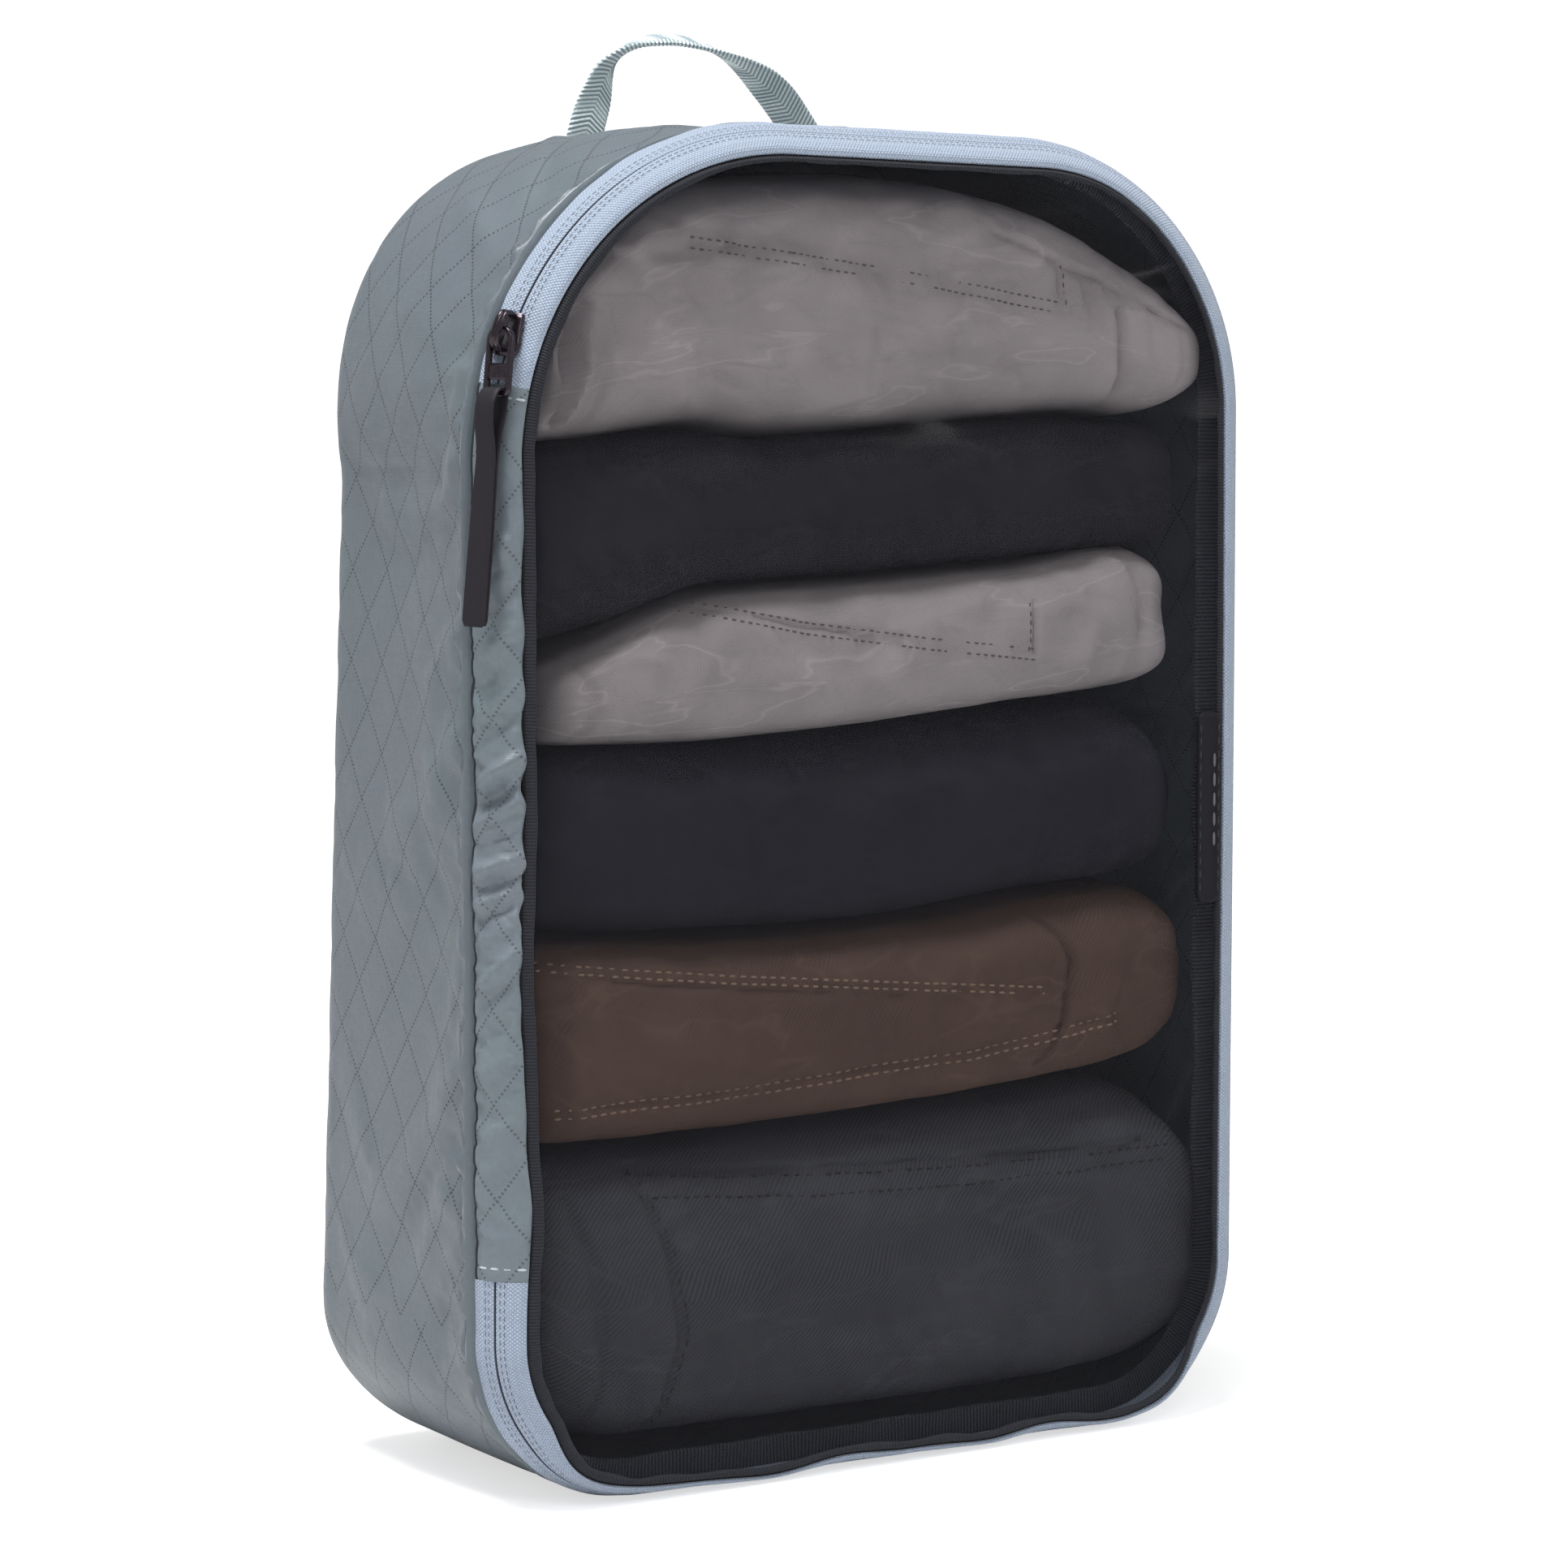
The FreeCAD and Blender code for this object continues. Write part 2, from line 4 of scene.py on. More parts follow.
import bpy
import numpy as np
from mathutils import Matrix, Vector


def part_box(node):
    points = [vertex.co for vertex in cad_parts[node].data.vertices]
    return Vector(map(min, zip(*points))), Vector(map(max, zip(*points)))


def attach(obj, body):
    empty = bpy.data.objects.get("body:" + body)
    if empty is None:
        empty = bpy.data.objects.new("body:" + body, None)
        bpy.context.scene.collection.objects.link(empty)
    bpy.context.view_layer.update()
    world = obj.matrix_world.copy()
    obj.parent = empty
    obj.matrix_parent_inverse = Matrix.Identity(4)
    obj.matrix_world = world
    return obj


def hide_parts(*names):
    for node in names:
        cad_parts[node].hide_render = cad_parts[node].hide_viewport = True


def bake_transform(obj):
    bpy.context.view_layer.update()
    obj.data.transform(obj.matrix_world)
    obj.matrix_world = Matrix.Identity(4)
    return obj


# Soft packing cube that stands on end, with its door of see-through mesh closed by a zip.
# Lengths are in millimetres up to the moment a mesh is made, where MM turns them into metres.
# Places on the bag's face are (u, t): u runs clockwise round the outline from the foot of the
# left side, t runs back from the front seam and is negative towards the door.
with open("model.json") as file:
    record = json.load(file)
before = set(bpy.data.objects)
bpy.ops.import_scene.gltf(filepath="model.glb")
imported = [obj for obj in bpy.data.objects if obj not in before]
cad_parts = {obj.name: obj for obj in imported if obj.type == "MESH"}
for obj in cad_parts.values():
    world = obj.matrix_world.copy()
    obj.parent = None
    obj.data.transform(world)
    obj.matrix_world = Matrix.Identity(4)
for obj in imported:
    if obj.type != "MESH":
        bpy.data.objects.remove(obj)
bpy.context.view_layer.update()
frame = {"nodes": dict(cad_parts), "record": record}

MM = 0.001
PI = math.pi


# ---------------------------------------------------------------- sizes, from the frame
def box_of(node):
    return [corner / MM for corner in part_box(node)]


GUSSET, BACK_PANEL = box_of("gusset_panel"), box_of("back_panel")
WIDTH = GUSSET[1].x - GUSSET[0].x
HEIGHT = GUSSET[1].z - GUSSET[0].z
DOOR_Y = box_of("mesh_edge_binding")[0].y
DEPTH = BACK_PANEL[1].y - DOOR_Y
FRONT_SEAM = GUSSET[0].y - DOOR_Y
HALF = WIDTH / 2

TOP_LEFT, TOP_RIGHT, BOTTOM = 90.0, 74.0, 46.0     # corner radii of the outline
REAR_FULLNESS = 15.0     # how much tighter the top left corner turns at the back than at the door
OVERLAP = 2.6            # the body's turned front edge covers this much of zip tape and strip
CLOTH = 0.8
BACK_ROUND = 12.0
BAND_ANGLE = math.radians(62.5)
ZIP_ANGLE = math.radians(31.3)
BAND_RADIUS = FRONT_SEAM / math.sin(BAND_ANGLE)
BAND = BAND_RADIUS * BAND_ANGLE                    # seam to the door's edge, along the turn
ZIP_LINE = BAND_RADIUS * ZIP_ANGLE                 # seam to the zip's middle, the same way
ZIP_GAP = 0.5
FLAT = DEPTH - BACK_ROUND - FRONT_SEAM
BACK_SEAM = FLAT + BACK_ROUND * PI / 4
DOOR_EDGE = BAND_RADIUS * (1 - math.cos(BAND_ANGLE))   # inset of the door's edge
BINDING_INSET = 12.5
MESH_EDGE, MESH_DEPTH, MESH_THICK = 9.8, 0.7, 0.25   # inset and depth of the mesh's edge
RIGHT_SHIFT = 1.8        # the door's binding lies this much further in along the right side
STRIP_FOOT = 62.0 - BOTTOM
STRIP_TOP_TURN = math.radians(13.4)
SLIDER_TURN = math.radians(21.8)
PULL_TWIST = math.radians(12)      # turn of the hanging pull about its own length
STRAP_SWERVE = -0.1                # further turn of its strap at the free end, in radians
PANEL_REACH = 0.985      # door and back run this share of the way to their middle, then close flat


# ---------------------------------------------------------------- the outline
def outline_runs():
    """The outline clockwise from the foot of the left side: (length, place(s) -> x, z, nx, nz)."""

    def line(x, z, dx, dz, length):
        return length, lambda s: (x + dx * s, z + dz * s, -dz + 0 * s, dx + 0 * s)

    def arc(x, z, radius, start):
        def place(s):
            turn = start - s / radius
            nx, nz = np.cos(turn), np.sin(turn)
            return x + radius * nx, z + radius * nz, nx, nz

        return radius * PI / 2, place

    left, low = BOTTOM - HALF, BOTTOM
    return [
        line(-HALF, low, 0, 1, HEIGHT - TOP_LEFT - BOTTOM),
        arc(TOP_LEFT - HALF, HEIGHT - TOP_LEFT, TOP_LEFT, PI),
        line(TOP_LEFT - HALF, HEIGHT, 1, 0, WIDTH - TOP_LEFT - TOP_RIGHT),
        arc(HALF - TOP_RIGHT, HEIGHT - TOP_RIGHT, TOP_RIGHT, PI / 2),
        line(HALF, HEIGHT - TOP_RIGHT, 0, -1, HEIGHT - TOP_RIGHT - BOTTOM),
        arc(-left, low, BOTTOM, 0),
        line(-left, 0, -1, 0, WIDTH - 2 * BOTTOM),
        arc(left, low, BOTTOM, -PI / 2),
    ]


RUNS = outline_runs()
STARTS = np.cumsum([0] + [length for length, _ in RUNS])
PERIMETER = STARTS[-1]
STRIP_TOP = STARTS[1] + TOP_LEFT * STRIP_TOP_TURN
ZIP_FROM, ZIP_TO = STRIP_TOP, PERIMETER + STRIP_FOOT


def outline(u):
    """x, z and outward normal of the outline at arc length u."""
    u = np.mod(np.asarray(u, float), PERIMETER)
    found = np.zeros((4,) + u.shape)
    for start, (length, place) in zip(STARTS, RUNS):
        here = (u >= start) & (u < start + length)
        found[:, here] = place(u[here] - start)
    return found


def profile(t):
    """Inset, depth and outward normal along a section: t is 0 at the front seam, up to the back."""
    theta = np.clip(-t, 0, BAND) / BAND_RADIUS
    phi = np.clip(t - FLAT, 0, BACK_ROUND * PI / 2) / BACK_ROUND
    inset = BAND_RADIUS * (1 - np.cos(theta)) + BACK_ROUND * (1 - np.cos(phi))
    depth = FRONT_SEAM - BAND_RADIUS * np.sin(theta) + np.clip(t, 0, FLAT)
    depth = depth + BACK_ROUND * np.sin(phi)
    return inset, depth, np.cos(theta) * np.cos(phi), np.sin(phi) - np.sin(theta)


def smooth(value, start, end):
    """0 before start, 1 after end."""
    s = np.clip((value - start) / (end - start), 0, 1)
    return s * s * (3 - 2 * s)


def hump(value, middle, width):
    return np.exp(-(((value - middle) / width) ** 2))


def unit(vectors):
    return vectors / np.linalg.norm(vectors, axis=-1, keepdims=True)


def grid(a, b):
    return np.meshgrid(a, b, indexing="ij")


def pairs(a, b):
    return np.stack(grid(a, b), -1)


def run_of(path):
    """Distance run along a path at each of its places."""
    return np.concatenate([[0], np.cumsum(np.linalg.norm(np.diff(path, axis=0), axis=1))])


def soften(values, width):
    """Values smoothed over `width` places, an odd number."""
    kernel = np.hanning(width) / np.hanning(width).sum()
    return np.convolve(np.pad(values, width // 2, mode="edge"), kernel, mode="valid")


def ripple(seed, wavelength, *axes, waves=9):
    """Smooth repeatable noise over the given coordinates, about -1 to 1."""
    rng = np.random.default_rng(seed)
    total = 0
    for _ in range(waves):
        way = rng.normal(size=len(axes))
        way *= 2 * PI / (wavelength * rng.uniform(0.7, 1.5)) / np.linalg.norm(way)
        total = total + np.sin(sum(w * a for w, a in zip(way, axes)) + rng.uniform(0, 2 * PI))
    return total / waves ** 0.5 / 1.2


# ---------------------------------------------------------------- how the soft bag slumps
def door_edge_shift(x, z, nx, nz):
    """How far the door's edge stands out of the outline: gentle waves of slack cloth."""
    right = 0.6 * hump(z, 200, 90) * np.clip(nx, 0, 1)
    left = (1.3 * hump(z, 141, 22) - 1.6 * hump(z, 78, 16)) * np.clip(-nx, 0, 1)
    sag = 5.4 + 1.1 * ripple(2, 46, x) + 0.6 * hump(x, -50, 14)
    foot = sag * smooth(-nz, 0.55, 1.0)
    return right + left + foot


def slump(x, z, nx, nz, t):
    """How far the body moves out in the outline's plane: upper sides lean in, the top sags."""
    rear = smooth(t, 0, 66)
    sides = (2.5 - 0.035 * (np.minimum(z, 268) - 60)) * np.abs(nx) * smooth(z, 0, 40)
    sides = sides * smooth(352 - z, 0, 66)
    full = REAR_FULLNESS * (np.abs(nx) + np.abs(nz) - 1) * ((nx < 0) & (nz > 0)) * smooth(t, 2, 46)
    top = -3.4 * hump(x, -22, 30) * np.clip(nz, 0, 1) * smooth(t, 14, 70)
    door = door_edge_shift(x, z, nx, nz) * np.clip(-t / BAND, 0, 1) ** 2
    return rear * sides + full + top + door


def surface(u, t, lift=0.0):
    """Points of the outer face, `lift` millimetres out of it."""
    u, t, lift = np.broadcast_arrays(u, t, lift)
    x, z, nx, nz = outline(u)
    inset, depth, out, back = profile(t)
    reach = slump(x, z, nx, nz, t) - inset + lift * out
    return np.stack([x + nx * reach, DOOR_Y + depth + lift * back, z + nz * reach], -1)


def drawn_in(points, u, inward):
    """The points moved in, in the outline's plane."""
    _, _, nx, nz = outline(u)
    points[..., 0] -= nx * inward
    points[..., 2] -= nz * inward
    return points


def door_point(u, inset, depth):
    """Points of the flat door, by inset from the outline and depth behind the door plane."""
    u, inset, depth = np.broadcast_arrays(u, inset, depth)
    x, z, nx, nz = outline(u)
    reach = door_edge_shift(x, z, nx, nz) * np.clip(1 - (inset - DOOR_EDGE) / 30, 0, 1) - inset
    return np.stack([x + nx * reach, DOOR_Y + depth, z + nz * reach], -1)


# ---------------------------------------------------------------- meshes
def mesh_object(name, points, faces, uv=None):
    """Smooth mesh from points in mm; uv holds one (mm, mm) pair per face corner."""
    mesh = bpy.data.meshes.new(name)
    mesh.from_pydata((np.asarray(points) * MM).tolist(), [], faces)
    if uv is not None:
        layer = mesh.uv_layers.new(name="mm")
        layer.data.foreach_set("uv", np.asarray(uv, np.float32).ravel())
    mesh.validate()
    mesh.shade_smooth()
    mesh.set_sharp_from_angle(angle=math.radians(55))
    piece = bpy.data.objects.new(name, mesh)
    bpy.context.scene.collection.objects.link(piece)
    return piece


def grid_faces(rows, columns, wrap_rows, wrap_columns):
    """Quads of a grid, with the unwrapped grid places of their corners."""
    i, j = grid(np.arange(rows if wrap_rows else rows - 1),
                np.arange(columns if wrap_columns else columns - 1))
    i, j = i.ravel(), j.ravel()
    places = np.stack([np.stack([i, i + 1, i + 1, i]), np.stack([j, j, j + 1, j + 1])])
    faces = (places[0] % rows) * columns + places[1] % columns
    return faces.T, places.transpose(0, 2, 1)


def loop_sheet(name, sections, along, across, around=0.0):
    """Closed tube of cross-section loops, given as (stations, loop, 3).

    along holds each station's distance and across the distances round a loop and back to its
    start. The tube meets its own start after `around` mm; at 0 both ends get a flat cap.
    """
    rows, columns = sections.shape[:2]
    uv = pairs(np.append(along, along[0] + around), across)
    faces, places = grid_faces(rows, columns, around > 0, True)
    corner_uv = uv[places[0], places[1]].reshape(-1, 2)
    faces = faces.tolist()
    if not around:
        first = list(range(columns))
        last = [(rows - 1) * columns + j for j in reversed(range(columns))]
        faces += [first[::-1], last[::-1]]
        caps = np.concatenate([uv[0, first[::-1]], uv[rows - 1, first]])
        corner_uv = np.concatenate([corner_uv, caps])
    return mesh_object(name, sections.reshape(-1, 3), faces, corner_uv)


def shell(name, u, t, lift, where, around=0.0):
    """Thin closed sheet on the bag's surface; lift is an array over (u, t)."""
    uu, tt = grid(u, t)
    outer, inner = where(uu, tt, lift), where(uu, tt, lift - CLOTH)
    sections = np.concatenate([outer, inner[:, ::-1]], axis=1)
    return loop_sheet(name, sections, u, np.concatenate([t, t[::-1], t[:1]]), around)


def panel(name, top, under, axes, flipped):
    """Closed sheet of two like grids of points that wrap round and reach nearly to a middle."""
    rows, columns = top.shape[:2]
    half = rows * columns
    points = np.concatenate([top.reshape(-1, 3), under.reshape(-1, 3)])
    quads, _ = grid_faces(rows, columns, True, False)
    here = np.arange(rows) * columns
    there = np.roll(here, -1)
    rim = np.stack([here, there, there + half, here + half], -1)
    inner = here + columns - 1
    faces = [quads[:, ::-1], quads + half, rim, [inner], [inner[::-1] + half]]
    faces = [face[::-1].tolist() if flipped else face.tolist() for part in faces for face in part]
    return mesh_object(name, points, faces, points[np.concatenate(faces)][:, axes])


def ring_stations(step):
    return np.arange(0, PERIMETER, PERIMETER / round(PERIMETER / step))


def stretch(start, end, step):
    return np.linspace(start, end, max(2, round((end - start) / step) + 1))


CAPSULE_SIDES = 8
CAPSULE_RINGS = ((-0.42, 0.6), (-0.25, 1.0), (0.25, 1.0), (0.42, 0.6))   # place, width


def capsules(name, middles, ways, outs, length, radius):
    """Many small thread stitches in one mesh: rounded bars along ways, on a face with normal outs.

    ways and outs may each be one direction for all.
    """
    middles = np.asarray(middles, float)
    ways = unit(np.broadcast_to(np.asarray(ways, float), middles.shape))
    side = unit(np.cross(ways, np.broadcast_to(np.asarray(outs, float), middles.shape)))
    up = np.cross(side, ways)
    turn = 2 * PI * np.arange(CAPSULE_SIDES) / CAPSULE_SIDES
    parts = [middles + ways * along * length
             + (side * math.cos(a) + up * math.sin(a) * 0.7) * radius * wide
             for along, wide in CAPSULE_RINGS for a in turn]
    tips = [middles - ways * 0.5 * length, middles + ways * 0.5 * length]
    points = np.stack(parts + tips, axis=1)
    rings, ends = len(CAPSULE_RINGS), len(parts)
    pattern = []
    for k in range(rings - 1):
        for j in range(CAPSULE_SIDES):
            a, b = k * CAPSULE_SIDES + j, k * CAPSULE_SIDES + (j + 1) % CAPSULE_SIDES
            pattern.append((a, b, b + CAPSULE_SIDES, a + CAPSULE_SIDES))
    last = ends - CAPSULE_SIDES
    for j in range(CAPSULE_SIDES):
        after = (j + 1) % CAPSULE_SIDES
        pattern += [(after, j, ends), (last + j, last + after, ends + 1)]
    faces = [[i + k * points.shape[1] for i in face]
             for k in range(len(middles)) for face in pattern]
    return mesh_object(name, points.reshape(-1, 3), faces)


# ---------------------------------------------------------------- materials
class Value:
    """A number that a material's nodes work out, for sums in plain notation."""

    def __init__(self, paint, socket):
        self.paint, self.socket = paint, socket

    def __add__(self, other):
        return self.paint.math("ADD", self, other)

    def __sub__(self, other):
        return self.paint.math("SUBTRACT", self, other)

    def __rsub__(self, other):
        return self.paint.math("SUBTRACT", other, self)

    def __mul__(self, other):
        return self.paint.math("MULTIPLY", self, other)

    def __rmul__(self, other):
        return self.paint.math("MULTIPLY", other, self)

    def __truediv__(self, other):
        return self.paint.math("DIVIDE", self, other)

    def __abs__(self):
        return self.paint.math("ABSOLUTE", self)

    def fit(self, scale, offset):
        return self.paint.math("MULTIPLY_ADD", self, scale, offset)

    def wave(self, pitch):
        """Cosine of the value, 0 to 1, one crest per pitch."""
        return self.paint.math("COSINE", self * (2 * PI / pitch)).fit(0.5, 0.5)

    def near(self, pitch, width):
        """1 within half of `width` from whole multiples of pitch, fading to 0 at `width`."""
        ramp = 1.0 - self.paint.math("PINGPONG", self, pitch / 2) / width
        return self.paint.math("MINIMUM", 1.0, 2.0 * self.paint.math("MAXIMUM", 0.0, ramp))

    def within(self, low, high, soft):
        """1 between low and high, fading to 0 over `soft` inside them."""
        inside = self.paint.math("MINIMUM", (self - low) / soft, (high - self) / soft)
        return self.paint.math("MINIMUM", 1.0, self.paint.math("MAXIMUM", 0.0, inside))


class Paint:
    """One material's nodes, with short ways to add and join them."""

    def __init__(self, name):
        self.material = bpy.data.materials.new(name)
        self.material.use_nodes = True
        self.tree = self.material.node_tree
        self.shader = self.tree.nodes["Principled BSDF"]

    def feed(self, socket, value):
        if isinstance(value, Value):
            value = value.socket
        if isinstance(value, bpy.types.NodeSocket):
            self.tree.links.new(value, socket)
        elif socket.type == "RGBA":
            socket.default_value = (*value, 1.0)
        else:
            socket.default_value = value

    def node(self, kind, values=(), **settings):
        """A new node with its settings; values feeds inputs in order, or by name."""
        node = self.tree.nodes.new(kind)
        for name, value in settings.items():
            setattr(node, name, value)
        for key, value in values.items() if isinstance(values, dict) else enumerate(values):
            self.feed(node.inputs[key], value)
        return node

    def math(self, operation, *values):
        return Value(self, self.node("ShaderNodeMath", values, operation=operation).outputs[0])

    def uv(self):
        """The sheet's own (along, across) place in mm."""
        place = self.node("ShaderNodeUVMap", uv_map="mm").outputs[0]
        split = self.node("ShaderNodeSeparateXYZ", [place])
        return Value(self, split.outputs[0]), Value(self, split.outputs[1])

    def place(self):
        """The point's place in mm in the object's frame."""
        place = self.node("ShaderNodeTexCoord").outputs["Object"]
        scaled = self.node("ShaderNodeVectorMath", {0: place, "Scale": 1 / MM}, operation="SCALE")
        return scaled.outputs[0]

    def noise(self, size, detail=2.0, flat=None):
        """Noise with features of `size` mm, in space or over the two values `flat`."""
        place = self.node("ShaderNodeCombineXYZ", flat).outputs[0] if flat else self.place()
        values = {"Vector": place, "Scale": 1 / size, "Detail": detail}
        return Value(self, self.node("ShaderNodeTexNoise", values).outputs["Fac"])

    def mix(self, factor, a, b):
        return self.node("ShaderNodeMix", {0: factor, 6: a, 7: b}, data_type="RGBA").outputs[2]

    def relief(self, *layers):
        """Bumps laid over each other: (height, depth in mm for a height of 1, strength)."""
        normal = None
        for height, depth, strength in layers:
            values = {"Distance": depth * MM, "Strength": strength, "Height": height}
            if normal:
                values["Normal"] = normal
            normal = self.node("ShaderNodeBump", values).outputs[0]
        return normal

    def finish(self, colour, roughness, normal=None, **inputs):
        inputs.update({"Base Color": colour, "Roughness": roughness})
        if normal:
            inputs["Normal"] = normal
        for name, value in inputs.items():
            self.feed(self.shader.inputs[name.replace("_", " ")], value)
        return self.material


def shade(colour, factor):
    return tuple(c * factor for c in colour)


BODY_BLUE = (0.138, 0.177, 0.2)
BODY_GREEN, BODY_PURPLE = (0.122, 0.162, 0.176), (0.141, 0.156, 0.188)
DIAMOND_TALL, DIAMOND_WIDE = 24.6, 18.3     # one cell of the stitched grid
DIAMOND_GAP = 1 / math.hypot(1 / DIAMOND_TALL, 1 / DIAMOND_WIDE)


def diamond_dots(paint, along, across):
    """1 on the grid's dotted stitches."""
    tall, wide = DIAMOND_GAP / DIAMOND_TALL, DIAMOND_GAP / DIAMOND_WIDE
    dots = 0.0
    for sign in (1, -1):
        line, run = along * tall + across * (sign * wide), along * (sign * wide) + across * -tall
        dots = paint.math("MAXIMUM", dots, line.near(DIAMOND_GAP, 0.42) * run.near(1.25, 0.38))
    return dots


def body_cloth_material(name, seam=None, dotted=0.85, tone=1.0):
    """Laminated cloth with a dotted diamond grid, faint purple and green cast and a soft sheen.

    `seam` is the band across the sheet that a near-black line of painted shade fills: the shade
    of the gap under the body's turned edge. Without it the turned front edge gets a painted
    highlight along its lip and painted shade in the groove behind it, and the grid starts behind
    the groove.
    """
    paint = Paint(name)
    along, across = paint.uv()
    dots = diamond_dots(paint, along, across) * dotted
    mottle = paint.noise(1.4, 4.0)
    # tone scales the cloth's colours; above 1 it paints a lighter copy of the cloth as painted
    # light, as on the hinge strip
    colour = paint.mix(paint.noise(38, 3.0).fit(1.5, -0.25),
                       shade(BODY_GREEN, tone), shade(BODY_PURPLE, tone))
    colour = paint.mix(mottle * 0.4, colour, shade(BODY_BLUE, 0.6))
    if seam:
        # painted shade: a near-black line along the band where the gap under the body's turned edge
        # lies
        colour = paint.mix(across.within(*seam, 0.12) * 0.95, colour, (0.008, 0.01, 0.014))
    else:
        bent = across + paint.noise(5.5).fit(6.0, -3.0)
        # painted highlight along the lip of the turned front edge
        painted_lip_highlight = bent.within(0.2, 1.9, 0.6) * across.within(-2.6, 3.4, 0.7)
        colour = paint.mix(painted_lip_highlight * 0.55, colour, shade(BODY_BLUE, 1.75))
        # painted shade in the groove behind the lip
        groove = bent.within(2.4, 4.2, 0.7) * across.within(0.2, 5.5, 1.0)
        colour = paint.mix(groove * 0.5, colour, shade(BODY_BLUE, 0.45))
        dots = dots * across.within(3.0, 999.0, 1.5)
    colour = paint.mix(dots, colour, shade(BODY_BLUE, 0.12))
    normal = paint.relief((along.wave(0.55) * across.wave(0.55), 0.05, 0.7),
                          (dots * -1.0, 0.14, 0.7), (paint.noise(7, 3.0), 0.4, 0.4))
    return paint.finish(colour, mottle.fit(0.2, 0.3), normal, Specular_IOR_Level=0.5,
                        Sheen_Weight=0.06, Sheen_Roughness=0.45)


def tape_material():
    """Knit zip tape: fine slanted bumps with painted highlight on their tops and painted shade
    between them, two rows of dark stitches and painted shade along its edge by the zip.
    """
    paint = Paint("zip_tape")
    along, across = paint.uv()
    aside = abs(across + ZIP_LINE)
    knit = (along + aside * 0.8).wave(1.0) * (along + aside * -0.8).wave(1.0)
    # the knit's pattern, with painted highlight on the bump tops and painted shade in the hollows
    colour = paint.mix(knit, (0.24, 0.3, 0.4), (0.6, 0.68, 0.82))
    colour = paint.mix(paint.noise(1.6, 3.0) * 0.35, colour, (0.4, 0.48, 0.61))
    rows = aside.within(1.45, 1.85, 0.12) + aside.within(2.6, 3.0, 0.12)
    stitch = rows * along.near(2.1, 0.75)
    colour = paint.mix(stitch * 0.75, colour, (0.11, 0.15, 0.21))
    # painted shade along the tape's edge by the zip: faint where the tapes are shut tight, deep
    # near the ends where they part
    shut = along.within(ZIP_FROM + 60, ZIP_TO - 100, 30.0)
    edge = aside.within(-1.0, 0.42, 0.15) * shut.fit(-0.75, 0.9)
    colour = paint.mix(edge, colour, (0.03, 0.04, 0.06))
    normal = paint.relief((knit, 0.3, 0.9), (across.wave(0.9), 0.06, 0.6),
                          (stitch * -1.0, 0.3, 0.8))
    return paint.finish(colour, 0.72, normal, Sheen_Weight=0.25, Sheen_Roughness=0.5)


def ribbed_material(name, dark, light, pitch, painted_shade_from=None):
    """Grosgrain: close ribs across the ribbon, with painted highlight on the crown of each and
    painted shade between them.

    Places across the ribbon beyond the start that the last argument gives, in mm, are painted
    nearly black: painted shade of the gap they lie in.
    """
    paint = Paint(name)
    along, across = paint.uv()
    rib, thread = along.wave(pitch), across.wave(0.5)
    # painted highlight on the rib crowns, painted shade between them
    colour = paint.mix(rib * thread.fit(0.3, 0.7), dark, light)
    colour = paint.mix(paint.noise(5.0, 3.0) * 0.35, colour, dark)
    if painted_shade_from:
        # painted shade: nearly black across the ribbon beyond the given start
        colour = paint.mix(across.within(painted_shade_from, 99.0, 0.6), colour, (0.003, 0.003, 0.004))
    normal = paint.relief((rib, 0.16, 0.8), (thread, 0.05, 0.5))
    return paint.finish(colour, 0.8, normal, Specular_IOR_Level=0.3, Sheen_Weight=0.05)


def grained_material(name, dark, light, size, detail, relief, rough, spread=0.0, **inputs):
    """One even stuff with a fine grain in its tone, its relief and, by `spread`, its roughness."""
    paint = Paint(name)
    grain = paint.noise(size, detail)
    roughness = grain.fit(spread, rough) if spread else rough
    return paint.finish(paint.mix(grain, dark, light), roughness,
                        paint.relief((grain, *relief)), **inputs)


def thread_material(name, colour):
    return grained_material(name, shade(colour, 0.6), colour, 0.4, 2.0, (0.08, 1.0), 0.7)


def mesh_material():
    """Fine see-through weave: its threads run on the diagonal, its holes let the inside show.

    Pale moire-like bands of painted sheen lie over its upper part and make the mesh there a little
    less see-through.
    """
    paint = Paint("door_mesh")
    along, across = paint.uv()
    threads = paint.math("MAXIMUM", (along + across).wave(0.95), (along - across).wave(0.95))
    alpha = threads.fit(0.07, 0.155) + paint.noise(26, 3.0).fit(0.12, -0.06)
    sheen_moire = paint.math("POWER", paint.noise(60, 2.0, (along * 0.7, across * 2.4)).wave(0.16), 7.0)
    painted_sheen = sheen_moire * paint.noise(60, 0.0).within(0.46, 0.9, 0.15) * across.within(262.0, 342.0, 26.0)
    colour = paint.mix(threads, (0.024, 0.024, 0.028), (0.034, 0.034, 0.04))
    # painted sheen: pale wavy bands over the mesh's upper part
    colour = paint.mix(painted_sheen * 0.55, colour, (0.2, 0.195, 0.2))
    return paint.finish(colour, 1.0, Alpha=alpha + painted_sheen * 0.1, Specular_IOR_Level=0.0)


def webbing_material():
    """Handle webbing: slanted ribs that meet in the middle, with painted highlight on their crowns
    and painted shade in the gaps between them.
    """
    paint = Paint("handle_webbing")
    along, across = paint.uv()
    rib, rows = (along + abs(across) * 0.5).wave(1.3), across.wave(1.5)
    # painted highlight on the rib crowns and painted shade in the gaps between them
    colour = paint.mix(rib, (0.13, 0.19, 0.22), (0.9, 1.0, 1.0))
    colour = paint.mix(rows * 0.2, colour, (0.3, 0.4, 0.43))
    colour = paint.mix(paint.noise(4.0, 3.0) * 0.25, colour, (0.5, 0.62, 0.66))
    return paint.finish(colour, 0.7, paint.relief((rib, 0.2, 0.6), (rows, 0.08, 0.6)),
                        Sheen_Weight=0.2)


